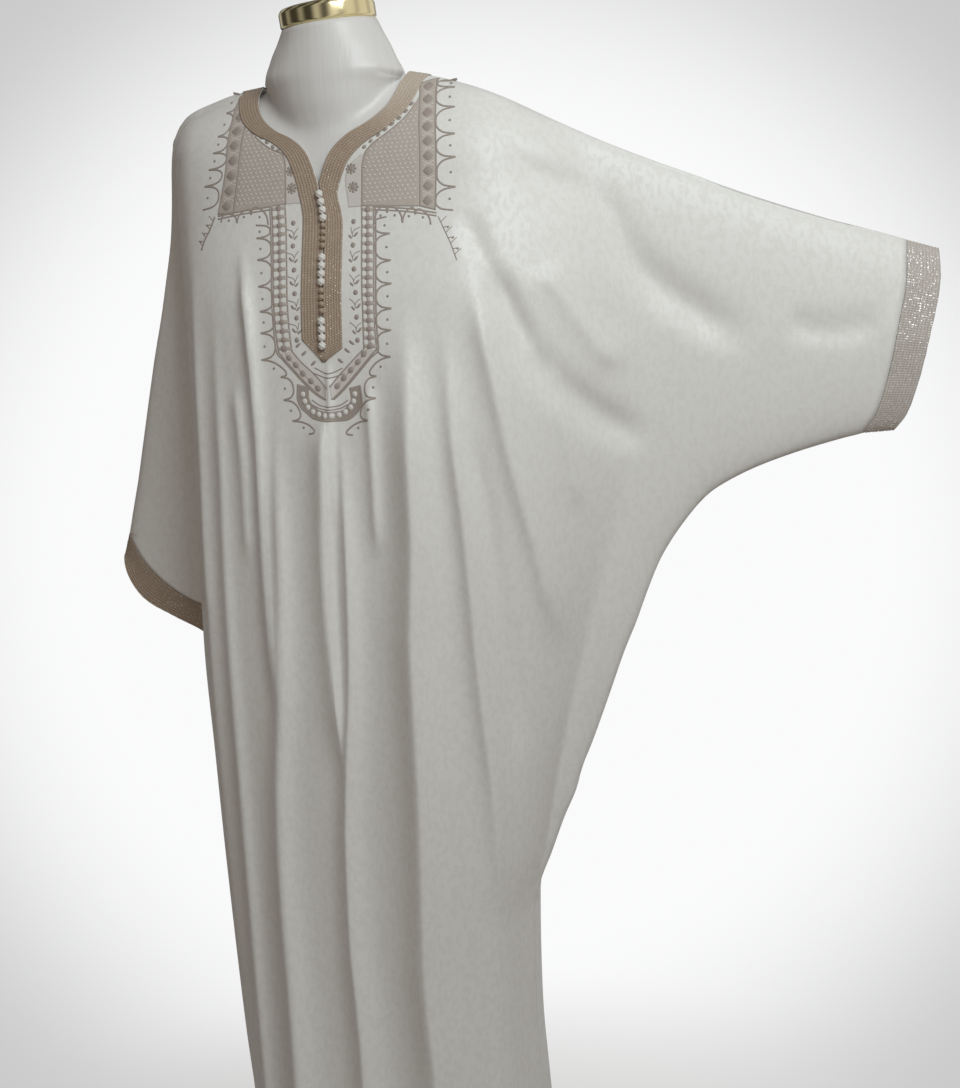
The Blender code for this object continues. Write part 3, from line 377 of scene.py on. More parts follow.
# Folds: the crest's line in (x, z) from its top, how wide it falls away on its left and right and
# how high it stands, at its top and at its foot, in millimetres. A hollow has a height below zero.
FRONT_FOLDS = (
    # crest line, left width, right width, height
    (((-0.092, 1.285), (-0.078, 1.164), (-0.074, 1.06), (-0.075, 0.93), (-0.07, 0.74)), (6, 9), (8, 11),
     (4.2, 3.4)),
    (((-0.1, 1.13), (-0.096, 1.03), (-0.097, 0.92)), (8, 8), (8, 8), (2.2, 1.5)),
    (((-0.05, 1.12), (-0.053, 1.03), (-0.056, 0.9), (-0.062, 0.79), (-0.073, 0.68), (-0.077, 0.56),
     (-0.074, 0.42), (-0.07, 0.05)), (8, 30), (8, 26), (2.5, 10)),
    (((0.0125, 1.152), (0.0125, 1.1), (0.012, 1.04), (0.01, 0.96)), (5, 6), (5, 6), (1.6, 1.2)),
    (((0.008, 1.11), (0.003, 1.02), (-0.001, 0.9), (0.002, 0.78), (0.005, 0.68)), (18, 22), (6, 7),
     (6, 4)),
    (((0.022, 1.11), (0.024, 0.96), (0.021, 0.82), (0.013, 0.72), (0.005, 0.62), (0.003, 0.5),
     (0.008, 0.4), (0.012, 0.05)), (6, 22), (8, 28), (3, 9)),
    (((0.057, 1.13), (0.058, 1.03), (0.057, 0.93)), (8, 9), (8, 9), (2.5, 2.0)),
    (((0.098, 1.215), (0.103, 1.06), (0.103, 0.96), (0.095, 0.83), (0.095, 0.69), (0.092, 0.56),
     (0.089, 0.45), (0.094, 0.38), (0.096, 0.05)), (26, 36), (20, 28), (9, 11)),
    (((0.14, 1.2), (0.147, 1.06), (0.155, 0.95), (0.16, 0.8), (0.168, 0.64), (0.168, 0.5), (0.15, 0.05)),
     (13, 16), (12, 14), (5, 5)),
    (((0.16, 1.08), (0.174, 0.96), (0.184, 0.82), (0.19, 0.68)), (9, 12), (12, 16), (-2, -4)),
    (((0.172, 1.23), (0.19, 1.12), (0.206, 1.02), (0.224, 0.92), (0.237, 0.8)), (15, 15), (15, 14),
     (4, 6)),
    (((0.24, 1.14), (0.255, 1.05), (0.262, 0.96)), (9, 9), (9, 9), (2, 2)),
    (((-0.125, 1.24), (-0.125, 1.06), (-0.128, 0.9), (-0.126, 0.6), (-0.122, 0.05)), (9, 18), (8, 16),
     (1.5, 5)),
    (((-0.157, 1.3), (-0.156, 1.12), (-0.158, 0.9), (-0.16, 0.5), (-0.15, 0.05)), (12, 18), (14, 18),
     (3, 6)),
    (((0.186, 1.388), (0.231, 1.334), (0.285, 1.306), (0.323, 1.239), (0.392, 1.178), (0.457, 1.133)),
     (20, 26), (20, 26), (-3, -6)),
    (((0.159, 1.3), (0.2, 1.201), (0.226, 1.14)), (14, 16), (14, 16), (-3, -3)),
    (((0.186, 1.244), (0.221, 1.147), (0.296, 1.061), (0.336, 1.03)), (20, 24), (20, 24), (-5, -8)),
    (((0.238, 1.241), (0.27, 1.18), (0.312, 1.115)), (16, 18), (16, 18), (3, 3)),
    (((0.482, 1.161), (0.535, 1.15), (0.589, 1.155)), (16, 16), (18, 18), (-3, -3)),
    (((0.51, 1.262), (0.57, 1.245), (0.608, 1.228)), (8, 8), (10, 10), (-2, -3)),
    (((-0.184, 1.388), (-0.189, 1.35), (-0.191, 1.326)), (6, 6), (6, 6), (-2, -2)),
)
BACK_FOLDS = (
    # crest line, left width, right width, height
    (((-0.15, 1.27), (-0.146, 1.0), (-0.15, 0.6), (-0.146, 0.05)), (14, 20), (14, 20), (4, 9)),
    (((-0.112, 1.2), (-0.104, 0.9), (-0.11, 0.5), (-0.102, 0.05)), (9, 16), (9, 16), (-3, -8)),
    (((-0.07, 1.3), (-0.064, 1.0), (-0.06, 0.65), (-0.066, 0.05)), (10, 22), (12, 20), (3, 11)),
    (((-0.034, 1.18), (-0.03, 0.98), (-0.024, 0.5), (-0.02, 0.05)), (8, 18), (8, 18), (-2, -9)),
    (((-0.008, 1.3), (0.0, 1.1), (0.006, 0.8), (0.014, 0.05)), (7, 14), (7, 20), (2, 6)),
    (((0.034, 1.24), (0.04, 1.0), (0.03, 0.6), (0.026, 0.05)), (9, 18), (8, 20), (3, 10)),
    (((0.07, 1.18), (0.064, 0.9), (0.062, 0.5), (0.058, 0.05)), (8, 18), (8, 18), (-3, -10)),
    (((0.104, 1.3), (0.112, 1.05), (0.104, 0.7), (0.098, 0.05)), (10, 22), (10, 20), (4, 11)),
    (((0.14, 1.25), (0.156, 1.0), (0.168, 0.72), (0.142, 0.05)), (10, 15), (10, 15), (3, 6)),
    (((0.17, 1.34), (0.23, 1.2), (0.29, 1.08), (0.336, 1.02)), (16, 24), (18, 24), (-4, -8)),
    (((0.19, 1.37), (0.3, 1.27), (0.4, 1.19), (0.48, 1.12)), (18, 26), (18, 26), (3, 6)),
    (((0.2, 1.2), (0.226, 1.06), (0.24, 0.86)), (12, 16), (12, 16), (3, 6)),
    (((0.34, 1.29), (0.43, 1.23), (0.54, 1.2)), (14, 20), (14, 20), (-2, -3)),
)
RIDGE_DEPTH = 2.5
HOLLOW_DEPTH = 1.7
FOLD_NARROWING = 0.78
CREST_POWER = 0.70
CREST_ROUND = 0.03
FOLD_START = 0.16
FOLD_FINISH = 0.22
FOLD_STEPS = 22
FOLD_REACH = 0.12
FOLD_OVERRUN = 0.04

# Rows from the shoulder to the hem by their places on the centre line, and columns out from it
PANEL_ROWS = (30, 34, 28, 18, 44, 40)
BODY_COLUMNS = 62
FLANK_COLUMNS = 9
SLEEVE_COLUMNS = 16
WING_COLUMNS = 118
WING_CROWDING = 1.15
NOSE_ROOM = 0.012
FLANK_REACH = 0.0115
FLANK_SHARE = 0.85


def through(at, knots, values):
    """Smooth curve through the knots: cubic pieces whose slope at a knot is the harmonic mean of the
    two chords beside it, or level where they turn, so that it never overshoots."""
    knots = np.asarray(knots, float)
    values = np.asarray(values, float)
    chord = np.diff(values) / np.diff(knots)
    slope = np.zeros(len(knots))
    slope[0], slope[-1] = chord[0], chord[-1]
    before, after = chord[:-1], chord[1:]
    turns = before * after <= 0
    total = np.where(turns, 1.0, before + after)
    slope[1:-1] = np.where(turns, 0.0, 2 * before * after / total)
    k = np.clip(np.searchsorted(knots, at) - 1, 0, len(knots) - 2)
    width = knots[k + 1] - knots[k]
    t = np.clip((at - knots[k]) / width, 0, 1)
    rise = values[k + 1] - values[k]
    start, end = slope[k] * width, slope[k + 1] * width
    return values[k] + start * t + (3 * rise - 2 * start - end) * t**2 + (start + end - 2 * rise) * t**3


def ring_value(height, column, rings=BODY_RINGS):
    """One column of a ring table at any height."""
    table = np.array(sorted(rings))
    return through(height, table[:, 0], table[:, column])


def run_along(points):
    """Distance along a line of straight pieces at each of its points."""
    return np.concatenate([[0], np.cumsum(np.linalg.norm(np.diff(points, axis=0), axis=1))])


def around(count):
    """Angles of so many even steps round a circle."""
    return np.linspace(0, 2 * math.pi, count, endpoint=False)


def along(points, parts):
    """Points at these parts of a line's length, on the smooth curve through its points."""
    points = np.array(points, float)
    run = run_along(points)
    at = np.asarray(parts) * run[-1]
    return np.stack([through(at, run, points[:, 0]), through(at, run, points[:, 1])], axis=-1)


def from_line(x, z, line, steps):
    """For each point the distance to a line of straight pieces in the front view, the part of the
    line's length where it is nearest, and whether it lies to the viewer's left of it there."""
    line = along(line, np.linspace(0, 1, steps + 1))
    nearest, part, left = np.full(np.shape(x), FAR), np.zeros(np.shape(x)), np.zeros(np.shape(x), bool)
    for k in range(steps):
        (ax, az), (dx, dz) = line[k], line[k + 1] - line[k]
        here = np.clip(((x - ax) * dx + (z - az) * dz) / (dx * dx + dz * dz), 0, 1)
        away = np.hypot(x - ax - here * dx, z - az - here * dz)
        closer = away < nearest
        nearest = np.where(closer, away, nearest)
        part = np.where(closer, (k + here) / steps, part)
        left = np.where(closer, (x - ax) * dz - (z - az) * dx > 0, left)
    return nearest, part, left


def closed_seam_distance(x, z):
    """Distance to the nearest seam that joins front and back: shoulder, overarm, underarm, side."""
    lines = (LEFT_SHOULDER, LEFT_OVERARM, LEFT_SIDE, RIGHT_OVERARM, RIGHT_UNDERARM, RIGHT_SIDE)
    distances = [from_line(x, z, line, SEAM_STEPS)[0] for line in lines]
    undercuff = from_line(x, z, LEFT_UNDERCUFF, 1)[0]
    distances.append(np.where(x < LEFT_UNDERCUFF[0][0], undercuff, FAR))
    return np.min(distances, axis=0)


def seam_sheet(x):
    """How far back the seams lie: the right sleeve is held out and back, the left hangs a little back."""
    out = x - WING_ROOT
    bend = out + np.sqrt(out**2 + WING_BEND**2) - WING_BEND / 3
    step = np.clip((-x - LEFT_SET_START) / LEFT_SET_RUN, 0, 1)
    return np.maximum(math.tan(WING_TURN) * bend / 2, 0) + LEFT_SET_BACK * step**2 * (3 - 2 * step)


def smooth_step(part):
    """From 0 to 1 with level ends."""
    part = np.clip(part, 0, 1)
    return part**2 * (3 - 2 * part)


def fold_rise(x, z, folds):
    """Sum of the folds: each is a bell across its crest, of its own width on either side, sharper on
    a ridge than in a hollow, which swells from nothing at its top and dies away at its foot unless
    that is the hem."""
    total = np.zeros(np.shape(x))
    for line, left_widths, right_widths, heights in folds:
        aside = [place for place, _ in line]
        near = (x >= min(aside) - FOLD_REACH) & (x <= max(aside) + FOLD_REACH)
        near &= (z < line[0][1] + FOLD_OVERRUN) & (z > line[-1][1] - FOLD_OVERRUN)
        across, part, left = from_line(x[near], z[near], line, FOLD_STEPS)
        width = np.where(left, *[np.interp(part, (0, 1), side) for side in (left_widths, right_widths)])
        swell = smooth_step(part / FOLD_START)
        if line[-1][1] > HEM_HEIGHT:
            swell = swell * smooth_step((1 - part) / FOLD_FINISH)
        power, depth = (CREST_POWER, RIDGE_DEPTH) if heights[0] > 0 else (1.0, HOLLOW_DEPTH)
        height = np.interp(part, (0, 1), heights) * swell * depth / 1000
        off = (across * 1000 / (width * FOLD_NARROWING)) ** 2 + CREST_ROUND
        total[near] += height * np.exp(CREST_ROUND**power - off**power)
    return total


def half_depth(x, z, front):
    """Half depth of the garment: the body's ring joined to the sleeve's lens by a power sum, with the
    seam allowance's turn and the folds added away from the seams."""
    reach = np.where(x < 0, ring_value(z, 1), ring_value(z, 2))
    flank = np.where(x < 0, ring_value(z, 5), ring_value(z, 6))
    depth = ring_value(z, 3 if front else 4)
    body = depth * (1 - np.clip(np.abs(x) / reach, 0, 1) ** CHEST_SQUARENESS) ** flank
    distance = closed_seam_distance(x, z)
    places, fullness = np.array(SLEEVE_FULLNESS).T
    sleeve = through(x, places, fullness) * np.sqrt(1 - np.exp(-distance / SEAM_SOFTNESS))
    joined = (body**JOIN_POWER + sleeve**JOIN_POWER) ** (1 / JOIN_POWER)
    calm = 1 - np.exp(-((distance / FOLD_CALM) ** 2))
    return joined + SEAM_TURN + calm * fold_rise(x, z, FRONT_FOLDS if front else BACK_FOLDS)


def eased(count):
    """Parts from 0 to 1 that crowd at both ends, as a half turn seen from the side."""
    return 0.5 - 0.5 * np.cos(np.linspace(0, math.pi, count + 1))


def inner_edge(front, side):
    """The neckline from the shoulder down, then the slit and the centre line, in (x, z)."""
    neck = along(NECKLINE if front else BACK_NECKLINE, np.linspace(0, 1, PANEL_ROWS[0] + 1))
    stops = (SLIT_TOP, SLIT_FOOT, *LEFT_CUFF_HEIGHTS, UNDERARM_FOOT, HEM_HEIGHT)
    heights = np.concatenate([np.linspace(a, b, n + 1)[1:]
                              for a, b, n in zip(stops, stops[1:], PANEL_ROWS[1:])])
    if not front:
        stretch = (neck[-1, 1] - HEM_HEIGHT) / (SLIT_TOP - HEM_HEIGHT)
        centre = HEM_HEIGHT + (heights - HEM_HEIGHT) * stretch
        return np.concatenate([neck, np.stack([0 * centre, centre], axis=1)]) * (side, 1)
    knots, shifts = np.array(sorted(CENTRE_SHIFT)).T
    opening = np.where(heights > SLIT_FOOT - ROW_SLACK, SLIT_HALF, 0.0)
    line = np.stack([through(heights, knots, shifts) + side * opening, heights], axis=1)
    return np.concatenate([neck * (side, 1), line])


def outer_edge(side, heights):
    """The far end of each row: the left one is level with its row, the right one runs round the
    cuff's seam and the underarm before it is level too."""
    if side < 0:
        top = LEFT_OVERARM[0][1]
        span = (SHOULDER_HEIGHT - heights) / (SHOULDER_HEIGHT - SLIT_TOP)
        level = np.where(heights > SLIT_TOP, top + (SLIT_TOP - top) * span, heights)
        arm, cuff, hip = (np.array(line)[::-1] for line in (LEFT_OVERARM[:-1], LEFT_CUFF_SEAM, LEFT_SIDE))
        x = through(level, arm[:, 1], arm[:, 0])
        x = np.where(level < LEFT_CUFF_HEIGHTS[0], through(level, cuff[:, 1], cuff[:, 0]), x)
        x = np.where(level < LEFT_CUFF_HEIGHTS[1] + ROW_SLACK, through(level, hip[:, 1], hip[:, 0]), x)
        return np.stack([x, level], axis=1)
    under = int(np.argmin(np.abs(heights - UNDERARM_FOOT)))
    cuff = along(RIGHT_CUFF_SEAM, eased(PANEL_ROWS[0]))
    arm = along(RIGHT_UNDERARM[1:], np.linspace(0, 1, under - PANEL_ROWS[0] + 1)[1:])
    hip = np.array(RIGHT_SIDE)[::-1]
    low = heights[under + 1:]
    return np.concatenate([cuff, arm, np.stack([through(low, hip[:, 1], hip[:, 0]), low], axis=1)])


def panel_rows(front, side):
    """Dense points in (x, z) along every row of half a panel, with each point's distance from the
    inner edge. A row is a straight line that leans on the shoulder's seam near the top."""
    inner = inner_edge(front, side)
    outer = outer_edge(side, inner_edge(True, side)[:, 1])
    dense = np.linspace(0, 1, ROW_POINTS)
    top = along(LEFT_SHOULDER if side < 0 else RIGHT_OVERARM[:-1], dense)
    chord = top[0] + (top[-1] - top[0]) * dense[:, None]
    # The first row is doubled a hair lower, which turns the cloth over into the seam
    inner, outer = (np.concatenate([e[:1], e[:1] + (e[1] - e[0]) * TOP_ROW_STEP, e[1:]])
                    for e in (inner, outer))
    lean = ((1 - np.linspace(0, 1, len(inner))) ** TOP_ROW_LEAN)[:, None, None]
    lines = inner[:, None] + (outer - inner)[:, None] * dense[None, :, None] + (top - chord) * lean
    steps = np.linalg.norm(np.diff(lines, axis=1), axis=2)
    return lines, np.concatenate([np.zeros((len(inner), 1)), np.cumsum(steps, axis=1)], axis=1)


def on_rows(lines, runs, at):
    """Points at these distances along each row."""
    return np.array([np.stack([np.interp(a, run, line[:, 0]), np.interp(a, run, line[:, 1])], axis=1)
                     for line, run, a in zip(lines, runs, at)])


def panel_half(front, side):
    """Grid of (x, z) over half a panel, with a mask of the rows whose outer end is sewn shut."""
    lines, runs = panel_rows(front, side)
    x, z = lines[:, -1].T
    length = runs[:, -1:]
    rows = len(lines)
    if side < 0:
        closed = (z > LEFT_CUFF_HEIGHTS[0] - ROW_SLACK) | (z < LEFT_CUFF_HEIGHTS[1] + ROW_SLACK)
        last = np.where(closed, TURN_STEP, CUFF_STEP)[:, None]
        reach = np.minimum(ring_value(z, 1), -x)
        nose = length + x[:, None] + reach[:, None] - NOSE_ROOM
        bend = np.minimum(1.0, (length - last - nose) * FLANK_SHARE / FLANK_REACH) * FLANK_REACH
        body = nose * np.sin(np.linspace(0, math.pi / 2, BODY_COLUMNS + 1))
        flank = nose + bend * np.linspace(0, 1, FLANK_COLUMNS + 1)[1:]
        arm = nose + bend + (length - last - nose - bend) * np.linspace(0, 1, SLEEVE_COLUMNS + 1)[1:]
        at = np.concatenate([body, flank, arm, length], axis=1)
    else:
        closed = np.arange(rows) > PANEL_ROWS[0]
        last = np.where((np.arange(rows) > 1) & ~closed, CUFF_STEP, TURN_STEP)[:, None]
        spread = np.linspace(0, 1, WING_COLUMNS + 1) ** WING_CROWDING
        at = np.concatenate([(length - last) * spread, length], axis=1)
    return on_rows(lines, runs, at), closed


def in_space(x, z, half, front):
    """Points so far in front of the seams' sheet, or behind it."""
    return np.stack([x, seam_sheet(x) + (-half if front else half), z], axis=-1)


def panel_points(front, side):
    """The half panel's outer points in space. Closed edges stop short of the seam's sheet."""
    grid, closed = panel_half(front, side)
    x, z = grid[..., 0], grid[..., 1]
    half = half_depth(x, z, front)
    half[0, :] = SEAM_GAP / 2
    half[closed, -1] = SEAM_GAP / 2
    return in_space(x, z, half, front), closed


def grid_faces(rows, columns, flip, start=0, closed=False):
    """Quads of a grid of points stored row by row; a closed grid joins its last column to its first."""
    i, j = np.meshgrid(np.arange(rows - 1), np.arange(columns - (not closed)), indexing="ij")
    a, b = start + i * columns + j, start + i * columns + (j + 1) % columns
    quads = np.stack([a, a + columns, b + columns, b], axis=-1).reshape(-1, 4)
    return quads[:, ::-1] if flip else quads


def thicken(item, thickness, outward=False, thin=()):
    """Wall of one thickness, but for the thin points beside a seam, which get a share of it."""
    solid = item.modifiers.new("wall", "SOLIDIFY")
    if len(thin):
        group = item.vertex_groups.new(name="full_wall")
        group.add(range(len(item.data.vertices)), 1.0, "REPLACE")
        group.add([int(i) for i in thin], 0.0, "REPLACE")
        solid.vertex_group = group.name
        solid.thickness_vertex_group = SEAM_WALL_SHARE
    solid.thickness = thickness
    solid.offset = 1.0 if outward else -1.0
    solid.use_rim = True


def make_panel(name, front, finish):
    """Front or back: two half grids, whose centre points are one below the slit."""
    points, faces, thin, count = [], [], [], 0
    first_shared = PANEL_ROWS[0] + PANEL_ROWS[1] + 2 if front else PANEL_ROWS[0] + 1
    for side in (-1, 1):
        half, closed = panel_points(front, side)
        rows, columns = half.shape[:2]
        number = np.arange(count, count + rows * columns).reshape(rows, columns)
        thin += list(number[0]) + list(number[closed, -1])
        faces.append(grid_faces(rows, columns, (side < 0) == front, count))
        points.append(half.reshape(-1, 3))
        count += rows * columns
        centre = number[first_shared:, 0]
        if side < 0:
            kept = centre
        else:
            same = dict(zip(centre.tolist(), kept.tolist()))
    index = np.arange(count)
    index[list(same)] = list(same.values())
    used = np.unique(index)
    place = np.zeros(count, int)
    place[used] = np.arange(len(used))
    item = make_piece(name, np.concatenate(points)[used], place[index[np.concatenate(faces)]], finish)
    thicken(item, WALL, thin=sorted(set(place[index[thin]].tolist())))
    return item


def noise(spot, scale, detail=2.0, roughness=0.5, stretch=(1, 1, 1)):
    """Cloudy noise from 0 to 1, at so many blotches a metre along each axis."""
    stretched = add_node(spot.tree, "ShaderNodeMapping", None, {"Vector": spot, "Scale": stretch})
    return add_node(spot.tree, "ShaderNodeTexNoise", None,
                    {"Vector": stretched, "Scale": scale, "Detail": detail, "Roughness": roughness})


def bump(height, distance, strength=1.0):
    """Relief of so many metres as a normal."""
    return add_node(height.tree, "ShaderNodeBump", None,
                    {"Height": height, "Distance": distance, "Strength": strength})


def settle(item, node=None):
    """A piece on the only body, and in the place of its CAD node if it has one."""
    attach(item, "root")
    if node:
        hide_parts(node)


def woven_satin(name, light, dark):
    """Viscose satin: fine upright threads, slubs, and a tone-on-tone figure of small soft marks that
    are a shade duller than their ground."""
    finish = make_finish(name, Sheen_Weight=0.18, Sheen_Roughness=0.45, Specular_IOR_Level=0.4)
    spot = coordinates(finish.node_tree)
    figure = ramp_between(noise(spot, 150, 3.0, 0.6, (1.2, 1.2, 0.7)), 0.44, 0.60)
    cloud = noise(spot, 7, 2.0)
    thread = noise(spot, 900, 2.0, 0.6, (1, 1, 0.12))
    slub = noise(spot, 260, 3.0, 0.6, (0.25, 0.25, 1.6))
    shade = figure * 0.38 + cloud * 0.15 + slub * 0.20
    feed(finish,
         Base_Color=mixed(shade, light, dark),
         Roughness=0.38 + figure * 0.10 + cloud * 0.03,
         Normal=bump(thread * 0.5 + slub * 0.4 + figure * 0.15, 0.00020, 0.8))
    return finish


cloth = woven_satin("ivory_satin", (0.865, 0.852, 0.820), (0.770, 0.745, 0.700))
front = make_panel("cloth_front", True, cloth)
settle(front, "front")

# ---- Back of the garment
# The same satin, cut as the front is but with a high round neck and no slit. The photograph doesn't
# show it, so it hangs in folds like those of the front.
back = make_panel("cloth_back", False, cloth)
settle(back, "back")

# ---- Embroidery round the neck and the slit
# Machine embroidery in taupe silk, sewn on the front before the braid: a dense block on each side of
# the neck with a band of diamonds, ladders of beads down both sides of the slit that meet in a V over
# a fan, a vine beside the braid, and scallops with a dot in each all round.
STITCH_SINK = 0.0003
LINE_WIDTH = 0.0015
LINE_RISE = 0.0004
SATIN_RISE = 0.0006
LINE_STEP = 0.0016
GROUND_LIFT = 0.0003
BAND_PITCH = 0.0165
DASH_PITCH = (0.0056, 0.0046)
DASH_ROOM = (0.005, 0.008)
DASH_MARGIN = 0.003
DASH_RISE = 0.0005
LADDER_BEADS = 17
LADDER_SPAN = (0.02, 0.98)
DIAMOND_FILL = 0.85
NORMAL_STEP = 0.0004
MOUND_SHOULDER = 0.8
SCALLOP_POWER = 2.6
SCALLOP_STEPS = 15
SCALLOP_DOT = 0.25
RAIL_STEPS = 120
RAIL_BELLY = 0.017
ARM_BELLY = 0.013
OUTER_BELLY = 0.020
LOWER_BELLY = 0.014
FOOT_TWIN = 0.0032
RAIL_TWIN = 0.0022
SHEET_STEPS = (60, 40)
SHEET_RIM = 12

# Widths of the laid cords
FRAME_CORD = 0.0021
ARC_CORD = 0.0024
RUNG_CORD = 0.0048
LADDER_CORD = 0.0040
ARM_CORD = 0.0022
CROSS_CORD = 0.0015
VINE_CORD = 0.0011
TAIL_CORDS = {"left": 0.0026, "right": 0.0014}
FAN_CORD = 0.0028
FAN_ARC_CORD = 0.0016

# Half width and half height of each motif in satin stitch
DASH = (0.0019, 0.0013)
DOT = (0.0016, 0.0016)
BEAD = (0.0041, 0.0036)
ARM_BEAD = (0.0047, 0.0038)
VINE_DOT = (0.0030, 0.0032)
FLOWER = (0.0042, 0.0042)
FLOWER_PETAL = (0.0019, 0.0019)
LONG_LEAF = (0.0017, 0.0042)
NECK_OVAL = (0.0031, 0.0021)
SPRIG_DOT = (0.0013, 0.0013)
FAN_PETAL = (0.0033, 0.0036)
FAN_PETAL_RISE = 0.0010
BEAD_TURN = math.radians(48)
LONG_LEAF_TURN = 0.9
OVAL_TURN = math.radians(38)
FEW_CORNERS = 8
FLOWER_PETALS = 8
PETAL_RING = 0.0047

# The vine between two dots: its roots on the rail and the braid, the height of each root and then its
# bends (out from the slit, up) from the middle between the dots, and its two leaves
VINE_ROOM = (0.0014, 0.004)
VINE_STEMS = (
    (0.006, (0.001, 0.0035), (-0.001, 0.0)),
    (0.007, (-0.002, 0.002), (0.0, -0.004)),
)
VINE_LEAVES = (
    # out, up, half width and height, turn
    (0.0030, -0.0015, (0.0015, 0.0038), -0.75),
    (-0.0032, -0.0035, (0.0013, 0.0034), 0.75),
)

# The band's diamonds as a share of its half width and a half height, its crosses likewise, and the
# tail's sprigs by turns, (out, up) from the tail
DIAMOND = (0.95, 0.0062)
DIAMOND_CORNERS = 12
DIAMOND_POINT = 1.5
CROSS = (0.9, 0.0026)
TAIL_STEPS = 9
SPRIGS = ((0.006, 0.006), (0.006, 0.001))
SPRIG_DOT_OUT = 0.005

